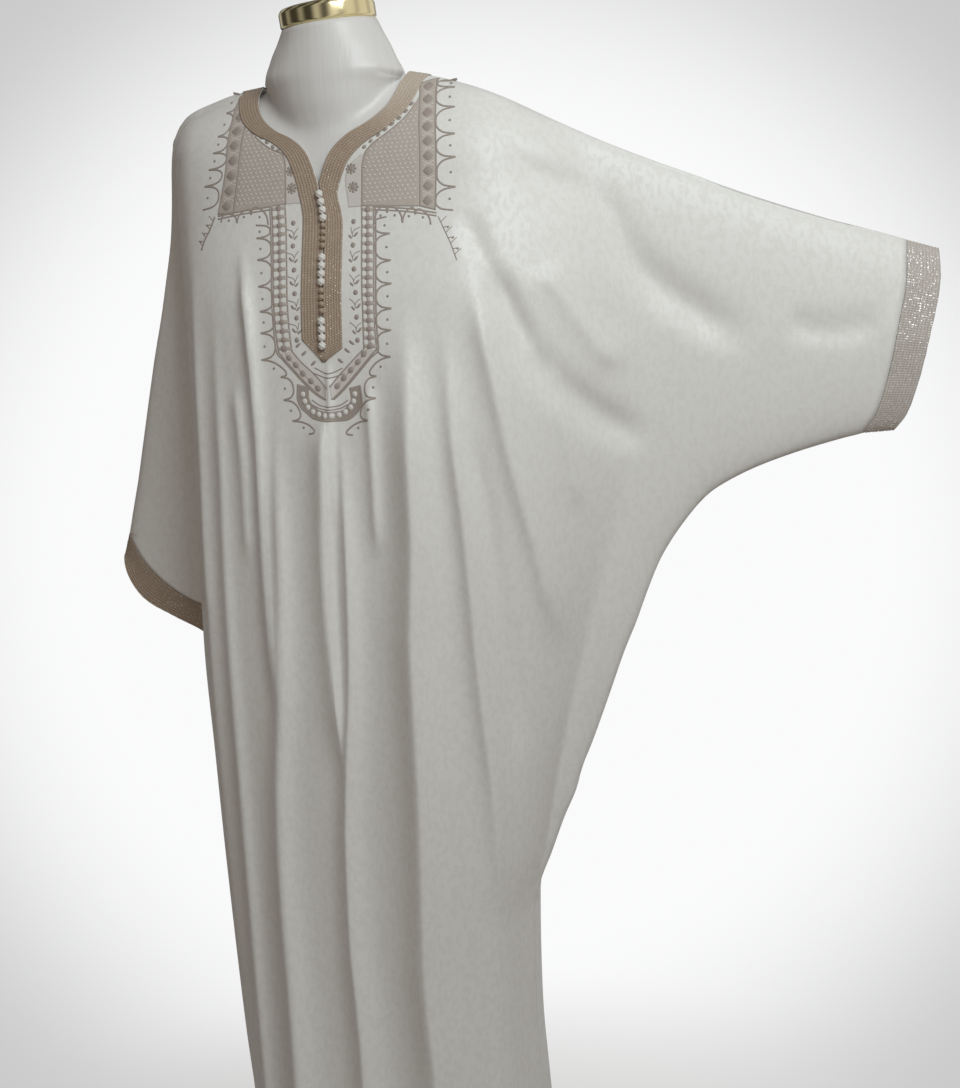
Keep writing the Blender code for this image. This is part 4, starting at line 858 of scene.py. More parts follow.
# Lines and rows of motifs on each side, in (x, z) on the front cloth
EMBROIDERY = {
    "left": {
        "band_outer": ((-0.109, 1.45), (-0.1106, 1.432), (-0.1107, 1.374), (-0.1218, 1.3145)),
        "band_inner": ((-0.093, 1.445), (-0.0923, 1.418), (-0.0946, 1.3725), (-0.1023, 1.3146)),
        "block_side": ((-0.092, 1.4175), (-0.085, 1.4055), (-0.0587, 1.3822), (-0.0415, 1.373),
            (-0.0385, 1.36), (-0.0385, 1.319)),
        "rail_outer": ((-0.0551, 1.318), (-0.0511, 1.2595), (-0.0476, 1.187), (-0.0447, 1.16)),
        "rail_inner": ((-0.0393, 1.319), (-0.0352, 1.258), (-0.0315, 1.186), (-0.0289, 1.16)),
        "arm_outer": ((-0.0447, 1.16), (-0.0375, 1.151), (-0.0264, 1.1386), (-0.0131, 1.1241),
            (0.0002, 1.1117), (0.0093, 1.1059)),
        "arm_inner": ((-0.0289, 1.16), (-0.0189, 1.1479), (-0.0067, 1.1366), (0.0054, 1.1232),
            (0.0102, 1.1176)),
        "arm_beads": ((-0.0386, 1.1629), (-0.0327, 1.1529), (-0.0249, 1.145), (-0.0172, 1.1354),
            (-0.0083, 1.127), (-0.0006, 1.1188)),
        "braid_side": ((-0.0213, 1.3585), (-0.0205, 1.3295), (-0.0165, 1.25), (-0.015, 1.1676)),
        "dots": ((-0.0292, 1.298), (-0.0285, 1.273), (-0.0261, 1.2469), (-0.0246, 1.2214),
            (-0.0224, 1.1952), (-0.0226, 1.1717)),
        "flowers": ((-0.031, 1.3357), (-0.0315, 1.3546)),
        "cusps": ((-0.074, 1.299), (-0.0725, 1.2847), (-0.07, 1.2608), (-0.0677, 1.2317),
            (-0.0655, 1.2045), (-0.0652, 1.1812), (-0.0651, 1.1524), (-0.0431, 1.133), (-0.0409, 1.1081),
            (-0.0316, 1.085), (-0.0125, 1.0703)),
        "outer_cusps": ((-0.1228, 1.4557), (-0.1206, 1.4296), (-0.1246, 1.402), (-0.1285, 1.3834),
            (-0.1335, 1.3653), (-0.1391, 1.3474), (-0.1421, 1.3219)),
        "lower_cusps": ((-0.059, 1.2985), (-0.0798, 1.311), (-0.0974, 1.3035), (-0.118, 1.306)),
        "block_foot": ((-0.1218, 1.313), (-0.094, 1.3157), (-0.0551, 1.318)),
        "tail": ((-0.1262, 1.313), (-0.133, 1.299), (-0.14, 1.288), (-0.1444, 1.2777)),
        "flower_edge": ((-0.036, 1.369), (-0.025, 1.357), (-0.022, 1.34), (-0.0212, 1.319)),
        "leaves": ((-0.0215, 1.166), (-0.015, 1.157), (-0.0045, 1.146)),
        "neck_ovals": ((-0.0477, 1.3781), (-0.0543, 1.3831), (-0.062, 1.3891), (-0.0695, 1.3951),
            (-0.0765, 1.4021), (-0.0828, 1.4106)),
    },
    "right": {
        "band_outer": ((0.1225, 1.448), (0.1251, 1.4356), (0.1317, 1.353), (0.1303, 1.3)),
        "band_inner": ((0.106, 1.442), (0.1083, 1.429), (0.1145, 1.354), (0.1141, 1.305)),
        "block_side": ((0.106, 1.419), (0.096, 1.403), (0.088, 1.395), (0.076, 1.386), (0.062, 1.3765),
            (0.053, 1.366), (0.05, 1.35), (0.0494, 1.31)),
        "rail_outer": ((0.0626, 1.3086), (0.0651, 1.2514), (0.0664, 1.1808), (0.0679, 1.1572)),
        "rail_inner": ((0.0494, 1.3096), (0.0513, 1.2523), (0.0534, 1.1816), (0.0534, 1.158)),
        "arm_outer": ((0.0679, 1.1572), (0.0586, 1.1482), (0.0469, 1.1361), (0.035, 1.1239),
            (0.0233, 1.1128), (0.0151, 1.1061)),
        "arm_inner": ((0.0534, 1.158), (0.0429, 1.149), (0.0323, 1.1389), (0.0217, 1.1288),
            (0.014, 1.1196)),
        "arm_beads": ((0.0602, 1.1608), (0.0532, 1.1527), (0.0461, 1.1446), (0.0379, 1.1365),
            (0.0296, 1.1284), (0.0218, 1.1203)),
        "braid_side": ((0.029, 1.338), (0.0335, 1.3189), (0.034, 1.25), (0.035, 1.1676)),
        "dots": ((0.0405, 1.2945), (0.0409, 1.2691), (0.0429, 1.2433), (0.0453, 1.2183), (0.0462, 1.1922),
            (0.0466, 1.1678)),
        "flowers": ((0.0402, 1.3312), (0.038, 1.3512)),
        "cusps": ((0.0776, 1.2968), (0.0819, 1.2786), (0.084, 1.25), (0.0854, 1.2253), (0.0852, 1.199),
            (0.0847, 1.1763), (0.0838, 1.1483), (0.0667, 1.1287), (0.0656, 1.1055), (0.0566, 1.0825),
            (0.0368, 1.0673)),
        "outer_cusps": ((0.143, 1.445), (0.1446, 1.4343), (0.1487, 1.4102), (0.1513, 1.3801),
            (0.1525, 1.355), (0.1521, 1.3234), (0.1498, 1.2988)),
        "lower_cusps": ((0.0639, 1.29), (0.0781, 1.301), (0.0953, 1.289), (0.1092, 1.297),
            (0.1261, 1.285)),
        "block_foot": ((0.0626, 1.3086), (0.0996, 1.304), (0.1322, 1.297)),
        "tail": ((0.134, 1.2928), (0.141, 1.278), (0.148, 1.263), (0.1544, 1.2456)),
        "flower_edge": ((0.048, 1.366), (0.035, 1.354), (0.0305, 1.34), (0.033, 1.319), (0.034, 1.31)),
        "leaves": ((0.04, 1.1655), (0.0345, 1.1575), (0.0265, 1.147)),
        "neck_ovals": ((0.0524, 1.3735), (0.0596, 1.3793), (0.0678, 1.3853), (0.0753, 1.3905),
            (0.0823, 1.396), (0.0896, 1.402), (0.0958, 1.4095), (0.101, 1.4175)),
    },
}
FAN_EDGE = (
    (-0.0236, 1.1246), (-0.0248, 1.1096), (-0.0203, 1.0986), (-0.0143, 1.093), (-0.0057, 1.0866),
    (0.0126, 1.0834), (0.0288, 1.0837), (0.0425, 1.0912), (0.0494, 1.103), (0.0473, 1.1201),
)
FAN_PETALS = (
    (-0.0184, 1.113), (-0.0155, 1.1025), (-0.0085, 1.0945), (0.002, 1.0902), (0.012, 1.0885),
    (0.021, 1.089), (0.0305, 1.0928), (0.0385, 1.1005), (0.0411, 1.1107),
)
FAN_ARCS = (
    ((-0.0082, 1.1067), (0.0021, 1.1002), (0.0125, 1.0983), (0.0227, 1.0994), (0.0331, 1.1048)),
    ((-0.0073, 1.101), (0.003, 1.0965), (0.0123, 1.0951), (0.0226, 1.0961), (0.0339, 1.1005)),
    ((-0.0031, 1.1407), (0.0127, 1.1339), (0.0289, 1.1391)),
    ((-0.0056, 1.1355), (0.0126, 1.1293), (0.0309, 1.133)),
)
FAN_MIDDLE = np.array((0.0125, 1.1130))
FAN_BAND = (0.64, 0.66)
FAN_DISCS = 12


def on_front(x, z, lift):
    """Points so far in front of the front cloth, square to it: the cloth is y = f(x, z), and its
    normal is (df/dx, -1, df/dz)."""
    step = NORMAL_STEP
    y = seam_sheet(x) - half_depth(x, z, True)
    along_x = (seam_sheet(x + step) - half_depth(x + step, z, True) - y) / step
    along_z = (seam_sheet(x) - half_depth(x, z + step, True) - y) / step
    normal = np.stack([along_x, -np.ones_like(y), along_z], axis=-1)
    normal /= np.linalg.norm(normal, axis=-1, keepdims=True)
    return np.stack([x, y, z], axis=-1) + normal * np.asarray(lift)[..., None]


def lay_cords(lines, width=LINE_WIDTH, rise=LINE_RISE):
    """Fine cords along lines on the cloth, as points and faces: rings of six points, half round above
    the cloth and sunk in it below, closed at both ends."""
    side = np.array((-1, -0.7, 0, 0.7, 1, 0)) * width / 2
    lift = np.array((0, 0.75, 1, 0.75, 0, 0)) * rise
    lift[[0, 4, 5]] = -STITCH_SINK
    places, faces, count = [], [], 0
    for line in lines:
        line = along(line, np.linspace(0, 1, max(3, int(run_along(line)[-1] / LINE_STEP) + 1)))
        way = np.gradient(line, axis=0)
        way /= np.linalg.norm(way, axis=1, keepdims=True)
        off = np.stack([-way[:, 1], way[:, 0]], axis=1)
        places.append((line[:, None] + off[:, None] * side[None, :, None]).reshape(-1, 2))
        faces += grid_faces(len(line), 6, False, count, closed=True).tolist()
        last = count + 6 * len(line) - 6
        faces += [list(range(count, count + 6))[::-1], list(range(last, last + 6))]
        count = last + 6
    places = np.concatenate(places)
    return on_front(places[:, 0], places[:, 1], np.tile(lift, len(places) // 6)), faces


def lay_mounds(outlines, rise=SATIN_RISE):
    """Low mounds of satin stitch, as points and faces: each outline sunk in the cloth, a smaller one
    near the top, and a point over and under its middle."""
    number, corners = outlines.shape[:2]
    middle = outlines.mean(axis=1, keepdims=True)
    shoulder = middle + (outlines - middle) * MOUND_SHOULDER
    places = np.concatenate([outlines, shoulder, middle, middle], axis=1)
    lift = np.repeat((-STITCH_SINK, rise * MOUND_SHOULDER, rise, -STITCH_SINK), (corners, corners, 1, 1))
    shape = []
    for j in range(corners):
        after = (j + 1) % corners
        shape += [[j, after, after + corners, j + corners], [j + corners, after + corners, 2 * corners],
                  [after, j, 2 * corners + 1]]
    faces = [[k * len(lift) + i for i in face] for k in range(number) for face in shape]
    places = places.reshape(-1, 2)
    return on_front(places[:, 0], places[:, 1], np.tile(lift, number)), faces


def ovals(middles, sizes, turn=0.0, corners=10, point=1.0):
    """Outlines of ovals of one half width and half height, turned so far from upright. A point above
    1 hollows their shoulders, and makes them diamonds near 2."""
    middles = np.atleast_2d(middles)[:, None]
    swing = around(corners)
    u, v = (size * np.sign(wave) * np.abs(wave) ** point
            for size, wave in zip(sizes, (np.cos(swing), np.sin(swing))))
    return middles + np.stack([u * math.cos(turn) - v * math.sin(turn),
                               u * math.sin(turn) + v * math.cos(turn)], axis=-1)


def scallops(cusps, rail, deepest, way=(1, 0)):
    """For each pair of cusps a full arc that bellies sideways, or another way, as far as the rail is
    off, and the place of its dot."""
    rail = along(rail, np.linspace(0, 1, RAIL_STEPS))
    part = np.linspace(-1, 1, SCALLOP_STEPS)[:, None]
    belly = (1 - np.abs(part) ** SCALLOP_POWER) ** 0.5
    arcs, dots = [], []
    for start, end in zip(np.array(cusps), np.array(cusps[1:])):
        middle = (start + end) / 2
        toward = rail[np.argmin(np.linalg.norm(rail - middle, axis=1))] - middle
        toward = np.sign(toward) * way * min(deepest, np.linalg.norm(toward))
        arcs.append(start + (end - start) * (part + 1) / 2 + toward * belly)
        dots.append(middle + toward * SCALLOP_DOT)
    return arcs, dots


def level_x(line, z):
    """Where a line that falls all the way is at these heights."""
    line = np.array(line)[::-1]
    return np.interp(z, line[:, 1], line[:, 0])


def stitch(name, parts, finish):
    """One object of laid cords and mounds, riding on the cloth."""
    points, faces, count = [], [], 0
    for made, made_faces in parts:
        points.append(made)
        faces += [[count + i for i in face] for face in made_faces]
        count += len(made)
    item = make_piece(name, np.concatenate(points), faces, finish)
    shape = bmesh.new()
    shape.from_mesh(item.data)
    bmesh.ops.recalc_face_normals(shape, faces=shape.faces)
    shape.to_mesh(item.data)
    shape.free()
    settle(item)


def stitch_sheet(name, first, second, finish):
    """A thin sheet of stitches ruled between two lines, by the same parts of their lengths."""
    part, across = (np.linspace(0, 1, steps) for steps in SHEET_STEPS)
    across = across[None, :, None]
    places = along(first, part)[:, None] * (1 - across) + along(second, part)[:, None] * across
    rim = np.minimum(np.minimum(across, 1 - across)[..., 0] * SHEET_RIM, 1)
    points = on_front(places[..., 0], places[..., 1], GROUND_LIFT * rim)
    inward = np.cross(points[0, 1] - points[0, 0], points[1, 0] - points[0, 0])[1] < 0
    faces = grid_faces(*SHEET_STEPS, inward)
    item = make_piece(name, points.reshape(-1, 3), faces, finish)
    thicken(item, GROUND_LIFT * 2)
    settle(item)


def silk_finish(name, light, dark):
    """Satin-stitched silk: fine slanting threads that catch the light a little, painted lighter on their
    ridges and darker between them as light and shade on their relief.
    """
    finish = make_finish(name, Sheen_Weight=0.25, Sheen_Roughness=0.35)
    spot = coordinates(finish.node_tree)
    thread = add_node(spot.tree, "ShaderNodeTexWave", {"bands_direction": "DIAGONAL"},
                      {"Vector": spot, "Scale": 420.0, "Distortion": 2.0, "Detail": 1.0})
    cloud = noise(spot, 120, 2.0)
    feed(finish,
         # Painted light and shade: the threads' colour is lighter on their ridges and darker between them,
         # following their relief
         Base_Color=mixed(thread * 0.45 + cloud * 0.5, dark, light),
         Roughness=0.5 + cloud * 0.12,
         Normal=bump(thread, 0.0002, 0.8))
    return finish


def embroider(side, name):
    """Everything sewn on one side of the slit."""
    lines = SimpleNamespace(**{key: np.array(line) for key, line in EMBROIDERY[name].items()})
    for ground, first, second, silk in (
            ("block", lines.band_inner[1:], lines.block_side, ground_silk),
            ("band", lines.band_outer, lines.band_inner, ground_silk),
            ("flower", lines.block_side[-3:], lines.flower_edge, pale_silk),
            ("arm", lines.arm_outer, lines.arm_inner, pale_silk)):
        stitch_sheet(f"{ground}_ground_{name}", first, second, silk)

    dashes = []
    foot, top = lines.block_side[-1, 1], lines.block_side[0, 1]
    for row, z in enumerate(np.arange(foot + DASH_ROOM[0], top - DASH_ROOM[1], DASH_PITCH[1])):
        ends = sorted((float(level_x(lines.band_inner, z)), float(level_x(lines.block_side, z))))
        start = ends[0] + DASH_MARGIN + row % 2 * DASH_PITCH[0] / 2
        dashes += [(x, z) for x in np.arange(start, ends[1] - DASH_MARGIN, DASH_PITCH[0])]
    stitch(f"block_dashes_{name}", [lay_mounds(ovals(dashes, DASH, 0, FEW_CORNERS), DASH_RISE)], pale_silk)

    rail = np.concatenate([lines.rail_outer, lines.arm_outer[1:]])
    arcs, dots = zip(scallops(lines.cusps[:7], rail, RAIL_BELLY),
                     scallops(lines.cusps[6:], rail, ARM_BELLY),
                     scallops(lines.outer_cusps, lines.band_outer, OUTER_BELLY),
                     scallops(lines.lower_cusps, lines.block_foot, LOWER_BELLY, (0, 1)))
    frames = [lines.band_outer, lines.band_inner, lines.block_foot, lines.block_side,
              lines.rail_inner, lines.arm_outer, lines.arm_inner,
              lines.block_foot - (0, FOOT_TWIN), lines.rail_outer, rail + (side * RAIL_TWIN, 0)]
    stitch(f"outlines_{name}", [lay_cords(frames, FRAME_CORD), lay_cords(sum(arcs, []), ARC_CORD),
                                lay_mounds(ovals(sum(dots, []), DOT, 0, FEW_CORNERS))], dark_silk)

    steps = np.linspace(*LADDER_SPAN, LADDER_BEADS)
    outer, inner = along(lines.rail_outer, steps), along(lines.rail_inner, steps)
    beads = (outer + inner) / 2
    stitch(f"ladder_{name}", [
        lay_cords(list(np.stack([outer, beads, inner], axis=1)), RUNG_CORD),
        lay_cords([beads], LADDER_CORD),
        lay_cords([lines.arm_beads], ARM_CORD),
    ], ground_silk)
    stitch(f"beads_{name}", [
        lay_mounds(ovals(beads, BEAD)),
        lay_mounds(ovals(lines.arm_beads, ARM_BEAD, side * BEAD_TURN)),
    ], dark_silk)

    knots = lines.dots
    rail_x = level_x(lines.rail_inner, knots[:, 1]) - side * VINE_ROOM[0]
    braid_x = level_x(lines.braid_side, knots[:, 1]) + side * VINE_ROOM[1]
    vine = []
    halves = (knots[1:] + knots[:-1]) / 2
    for k, middle in enumerate(halves):
        for root, (rise, *bends) in zip((rail_x, braid_x), VINE_STEMS):
            vine.append([(root[k], middle[1] + rise), *(middle + np.array(bends) * (side, 1))])
    turns = around(FLOWER_PETALS)
    circle = PETAL_RING * np.stack([np.cos(turns), np.sin(turns)], axis=1)
    petals = (lines.flowers[:, None] + circle).reshape(-1, 2)
    stitch(f"vine_{name}", [
        lay_cords(vine, VINE_CORD),
        lay_mounds(ovals(knots, VINE_DOT)),
        lay_mounds(ovals(lines.flowers, FLOWER)),
        lay_mounds(ovals(petals, FLOWER_PETAL, 0, FEW_CORNERS)),
        *(lay_mounds(ovals(halves + (side * out, rise), size, side * turn, FEW_CORNERS))
          for out, rise, size, turn in VINE_LEAVES),
        lay_mounds(ovals(lines.leaves, LONG_LEAF, side * LONG_LEAF_TURN)),
        lay_mounds(ovals(lines.neck_ovals, NECK_OVAL, side * OVAL_TURN)),
    ], dark_silk)

    cells = int(run_along(lines.band_outer)[-1] / BAND_PITCH)
    middle, between = ((along(lines.band_outer, at) + along(lines.band_inner, at)) / 2
                       for at in ((np.arange(cells) + 0.5) / cells, np.arange(1, cells) / cells))
    reach = abs(lines.band_outer[1, 0] - lines.band_inner[1, 0]) / 2 * DIAMOND_FILL
    diamonds = ovals(middle, (reach * DIAMOND[0], DIAMOND[1]), 0, DIAMOND_CORNERS, DIAMOND_POINT)
    stitch(f"diamonds_{name}", [lay_mounds(diamonds)], dark_silk)
    arms = [(reach * sign * CROSS[0], CROSS[1]) for sign in (-1, 1)]
    crosses = [(p - np.array(arm), p + np.array(arm)) for p in between for arm in arms]
    stitch(f"crosses_{name}", [lay_cords(crosses, CROSS_CORD)], pale_silk)

    tail = along(lines.tail, np.linspace(0, 1, TAIL_STEPS))
    sprigs = [(p, p + (side * SPRIGS[k % 2][0], SPRIGS[k % 2][1])) for k, p in enumerate(tail[1:-1])]
    stitch(f"tail_{name}", [
        lay_cords([tail], TAIL_CORDS[name]),
        lay_cords(sprigs, VINE_CORD),
        lay_mounds(ovals(tail[2:7:2] + (side * SPRIG_DOT_OUT, 0), SPRIG_DOT, 0, FEW_CORNERS)),
    ], dark_silk)


dark_silk = silk_finish("taupe_silk", (0.47, 0.405, 0.36), (0.36, 0.305, 0.265))
pale_silk = silk_finish("pale_taupe_silk", (0.78, 0.73, 0.69), (0.70, 0.64, 0.60))
ground_silk = silk_finish("ground_taupe_silk", (0.63, 0.56, 0.50), (0.51, 0.44, 0.39))
white_silk = silk_finish("white_silk", (0.88, 0.86, 0.83), (0.78, 0.75, 0.72))
embroider(-1, "left")
embroider(1, "right")

fan_edge = np.array(FAN_EDGE)
stitch_sheet("fan_ground", fan_edge, FAN_MIDDLE + (fan_edge - FAN_MIDDLE) * FAN_BAND, dark_silk)
stitch("slit_fan", [lay_cords([fan_edge], FAN_CORD), lay_cords(FAN_ARCS, FAN_ARC_CORD)], dark_silk)
petals = along(FAN_PETALS, np.linspace(0, 1, FAN_DISCS))
stitch("fan_petals", [lay_mounds(ovals(petals, FAN_PETAL), FAN_PETAL_RISE)], white_silk)

# ---- Braid round the neck and down the slit
# A flat taupe braid 24 mm wide: seven round cords side by side, crossed by slanting strands like a
# herringbone, sewn down round the neck and both sides of the slit to a pointed foot.
BRAID_THICK = 0.0009
BRAID_LIFT = 0.0003
BRAID_CORDS = 7
BRAID_CORD_RISE = 0.00045
BRAID_PLAIT_RISE = 0.00016
BRAID_PLAIT_PITCH = 0.0027
BRAID_STEP = 0.0012
BRAID_COLUMNS = 43
FOOT_TIP = 1.1465
FOOT_ROWS = 26
FOOT_REACH = 0.985
# Where the painted highlight of the window's light lies on the neck's braid: the heights and the distances
# right of the slit over which it fades in
PAINTED_HIGHLIGHT_HEIGHTS = (1.37, 1.45)
PAINTED_HIGHLIGHT_SIDE = (0.02, 0.08)


def braid_relief(across, run, width, cords):
    """Height of a braid's face: a row of round cords side by side, each crossed by slanting strands
    that lean one way and then the other from cord to cord."""
    place = across / width * cords
    cord = np.sqrt(np.clip(1 - (2 * (place - np.floor(place)) - 1) ** 2, 0, 1))
    lean = np.where(np.floor(place) % 2 == 0, 1, -1)
    strand = np.cos(2 * math.pi * (run / BRAID_PLAIT_PITCH + lean * (place - np.floor(place)) * 0.6))
    return BRAID_CORD_RISE * cord + BRAID_PLAIT_RISE * strand * cord


def outward_normals(points, sign):
    """Unit normals of a grid of points, from the steps to its neighbours along rows and columns."""
    normal = np.cross(np.gradient(points, axis=0), np.gradient(points, axis=1)) * sign
    return normal / np.linalg.norm(normal, axis=-1, keepdims=True)


def strip_between(inner, rows_at):
    """Runs along an inner edge, and row numbers as parts for evenly spaced rows along it."""
    run = run_along(inner)
    even = np.linspace(0, run[-1], int(run[-1] / rows_at) + 1)
    return even, np.interp(even, run, np.arange(len(inner)))


def braid_grid(front, side):
    """Points in (x, z) of half a neck's braid, evenly spaced along it, and their places on it."""
    lines, runs = panel_rows(front, side)
    last = PANEL_ROWS[0] + (PANEL_ROWS[1] if front else 0) + 1
    lines, runs = lines[1:last + 1], runs[1:last + 1]
    across = np.linspace(0, BRAID_WIDTH, BRAID_COLUMNS)
    coarse = on_rows(lines, runs, np.tile(across, (len(lines), 1)))
    run, part = strip_between(coarse[:, 0], BRAID_STEP)
    whole = np.clip(part.astype(int), 0, len(coarse) - 2)
    share = (part - whole)[:, None, None]
    grid = coarse[whole] * (1 - share) + coarse[whole + 1] * share
    if front:
        middle = np.interp(FOOT_TIP, *np.array(sorted(CENTRE_SHIFT)).T)
        tip = np.array([middle + side * SLIT_HALF, FOOT_TIP])
        fall = np.linspace(0, FOOT_REACH, FOOT_ROWS + 1)[1:, None, None]
        grid = np.concatenate([grid, grid[-1] * (1 - fall) + tip * fall])
        run = np.concatenate([run, run[-1] + fall[:, 0, 0] * (SLIT_FOOT - FOOT_TIP)])
    return grid, run, across


def braid_finish(name, light, dark, shiny_thread_and_painted_highlight):
    """Plaited cord: strands of a shinier, paler thread here and there; darker in its furrows and along its
    slanting strands, which is painted shade;
    and paler on the shoulder near the window, which is a painted highlight."""
    finish = make_finish(name, Sheen_Weight=0.2, Sheen_Roughness=0.4, Specular_IOR_Level=0.5)
    strip = coordinates(finish.node_tree, "UV")
    spot = coordinates(finish.node_tree)
    # Painted shade: the colour darkens in the furrows between the cords and along the slanting strands,
    # following the braid's relief
    wave = maths("COSINE", axis(strip, "X") * (2 * math.pi * BRAID_CORDS / BRAID_WIDTH))
    twist = maths("SINE", axis(strip, "Y") * (2 * math.pi / BRAID_PLAIT_PITCH))
    fibre = noise(spot, 1400, 2.0, 0.6)
    patch = noise(spot, 70, 2.0)
    spark = ramp_between(noise(spot, 520, 1.0), 0.56, 0.68)
    shade = 0.5 + wave * 0.32 + twist * 0.08 + (fibre - 0.5) * 0.35 + (patch - 0.5) * 0.5
    colour = mixed(shade, light, dark)
    # Painted highlight: paler towards the top of the braid on the right shoulder, where the window's light
    # falls on it
    painted_highlight = ramp_between(axis(spot, "Z"), *PAINTED_HIGHLIGHT_HEIGHTS) * ramp_between(axis(spot, "X"), *PAINTED_HIGHLIGHT_SIDE)
    feed(finish,
         Base_Color=mixed(spark * 0.5 + painted_highlight * 0.45, colour, shiny_thread_and_painted_highlight),
         Roughness=0.58 - spark * 0.28,
         Metallic=spark * 0.6,
         Normal=bump(fibre * 0.6 + twist * 0.4, 0.00025, 0.9))
    return finish


def plait(name, points, normal, across, run, width, cords, lift, wall, flip, closed, finish, node):
    """A braided strip: a grid of points, raised by a lift and the braid's relief, with its wall
    behind and each point's place across and along the strip as its UV."""
    relief = braid_relief(across, run, width, cords)
    points = points + normal * (lift + relief)[..., None]
    uv = np.stack(np.broadcast_arrays(across, run), axis=-1).reshape(-1, 2)
    faces = grid_faces(*points.shape[:2], flip, closed=closed)
    item = make_piece(name, points.reshape(-1, 3), faces, finish, uv)
    thicken(item, wall)
    settle(item, node)


def make_braid(name, front, side, node):
    """Half of the front's braid, or all of the back's, as a grid laid on the cloth."""
    sides = (side,) if front else (-1, 1)
    grids, runs = [], []
    for each in sides:
        grid, run, across = braid_grid(front, each)
        grids.append(grid if each < 0 or front else grid[::-1][1:])
        runs.append(run if each < 0 or front else 2 * run[-1] - run[::-1][1:])
    grid, run = np.concatenate(grids), np.concatenate(runs)
    x, z = grid[..., 0], grid[..., 1]
    points = in_space(x, z, half_depth(x, z, front), front)
    normal = outward_normals(points, side if front else 1)
    plait(name, points, normal, across[None, :], run[:, None], BRAID_WIDTH, BRAID_CORDS,
          BRAID_LIFT + BRAID_THICK, BRAID_THICK, (side < 0) == front, False, braid, node)


braid = braid_finish("taupe_plait", (0.50, 0.385, 0.29), (0.30, 0.215, 0.155), (0.78, 0.70, 0.60))
make_braid("neck_braid_left", True, -1, "braid_left")
make_braid("neck_braid_right", True, 1, "braid_right")
make_braid("neck_braid_back", False, 1, "braid_back")

# ---- Cuffs
# A band of the same kind of braid, 34 mm wide, sewn round the end of each sleeve. The held-out one gets a
# paler, lit copy of the braid's colours: painted light for the window's light that falls on it.
LEFT_CUFF_EDGE = (
    (-0.32, 0.926), (-0.3125, 0.903), (-0.2925, 0.874), (-0.253, 0.849), (-0.224, 0.833), (-0.203, 0.818),
)
RIGHT_CUFF_EDGE = (
    (0.648, 1.234), (0.649, 1.205), (0.646, 1.18), (0.638, 1.145), (0.626, 1.097), (0.611, 1.055),
    (0.596, 1.035),
)
CUFF_PROUD = 0.0004
CUFF_GAP = 0.0008
CUFF_CORDS = 9
CUFF_STEPS = 110
CUFF_ROWS = 46
CUFF_WALL = 0.0013


def make_cuff(name, side, seam, edge, node, finish):
    """A closed band: from overarm to underarm in front and back again behind, in rows from the
    sleeve's seam to the open edge."""
    seam = along(seam, eased(CUFF_STEPS))
    run = run_along(seam)
    edge = along(edge, run / run[-1])
    toward = edge - seam
    seam = seam + toward * (CUFF_GAP / np.linalg.norm(toward, axis=1, keepdims=True))
    part = np.linspace(0, 1, CUFF_ROWS)[:, None, None]
    flat = seam[None] * (1 - part) + edge[None] * part
    x, z = flat[..., 0], flat[..., 1]
    loops, places = [], []
    for front in (True, False):
        half = half_depth(x, z, front) + CUFF_PROUD
        half[:, 0] = half[:, -1] = 0.0
        face = in_space(x, z, half, front)
        place = run if front else 2 * run[-1] - run
        loops.append(face[:, :-1] if front else face[:, ::-1][:, :-1])
        places.append(place[:-1] if front else place[::-1][:-1])
    points, run = np.concatenate(loops, axis=1), np.concatenate(places)
    around = np.concatenate([points[:, -1:], points, points[:, :1]], axis=1)
    normal = outward_normals(around, side)[:, 1:-1]
    wide = np.linalg.norm(toward, axis=1).mean()
    across = np.linspace(0, wide, CUFF_ROWS)
    plait(name, points, normal, across[:, None], run[None, :], wide, CUFF_CORDS,
          0, CUFF_WALL, side > 0, True, finish, node)


# A lit copy of the braid's finish: its paler colours are painted light on the held-out cuff
lit_cuff_plait = braid_finish("painted_lit_plait", (0.61, 0.555, 0.51), (0.44, 0.39, 0.35), (0.84, 0.82, 0.79))
make_cuff("cuff_braid_left", -1, LEFT_CUFF_SEAM, LEFT_CUFF_EDGE, "cuff_left", braid)
make_cuff("cuff_braid_right", 1, RIGHT_CUFF_SEAM, RIGHT_CUFF_EDGE, "cuff_right", lit_cuff_plait)

# ---- Form
# A smooth limbless bust of glossy pale fibreglass. Where the cloth hangs free its rings are its own,
# and at the shoulders they are the cloth's, a hair smaller, with the neck's circle joined in.
NECK_TOP = 1.517
NECK_FORWARD = 0.008
NECK_TILT = math.radians(7)
NECK_SIDE_TILT = math.radians(3.5)
FORM_EASE = 0.0009
FORM_SIDE_EASE = 0.010
FORM_DROP = 0.0034
FORM_THINNEST = 0.001
FORM_RINGS = (
    # height, half width, front, back
    (0.780, 0.158, 0.094, 0.104),
    (0.860, 0.170, 0.098, 0.112),
    (0.950, 0.164, 0.094, 0.100),
    (1.060, 0.130, 0.086, 0.080),
    (1.150, 0.130, 0.090, 0.082),
    (1.210, 0.144, 0.092, 0.090),
    (1.260, 0.152, 0.083, 0.094),
    (1.300, 0.161, 0.074, 0.096),
    (1.330, 0.172, 0.070, 0.0955),
)
FORM_TOP_OF_FREE = 1.345
FORM_FLANK = 0.40
NECK_ROOT = (
    # height, half width, front, back
    (1.462, 0.0680, 0.001, 0.044),
    (1.470, 0.0560, 0.001, 0.038),
    (1.485, 0.0450, 0.001, 0.032),
    (1.530, 0.0350, 0.001, 0.028),
)
NECK_ROOT_HEIGHT = 1.460
NECK_POWER = 12
MIDDLE_REACH = math.radians(60)
MIDDLE_SHARE = 0.455
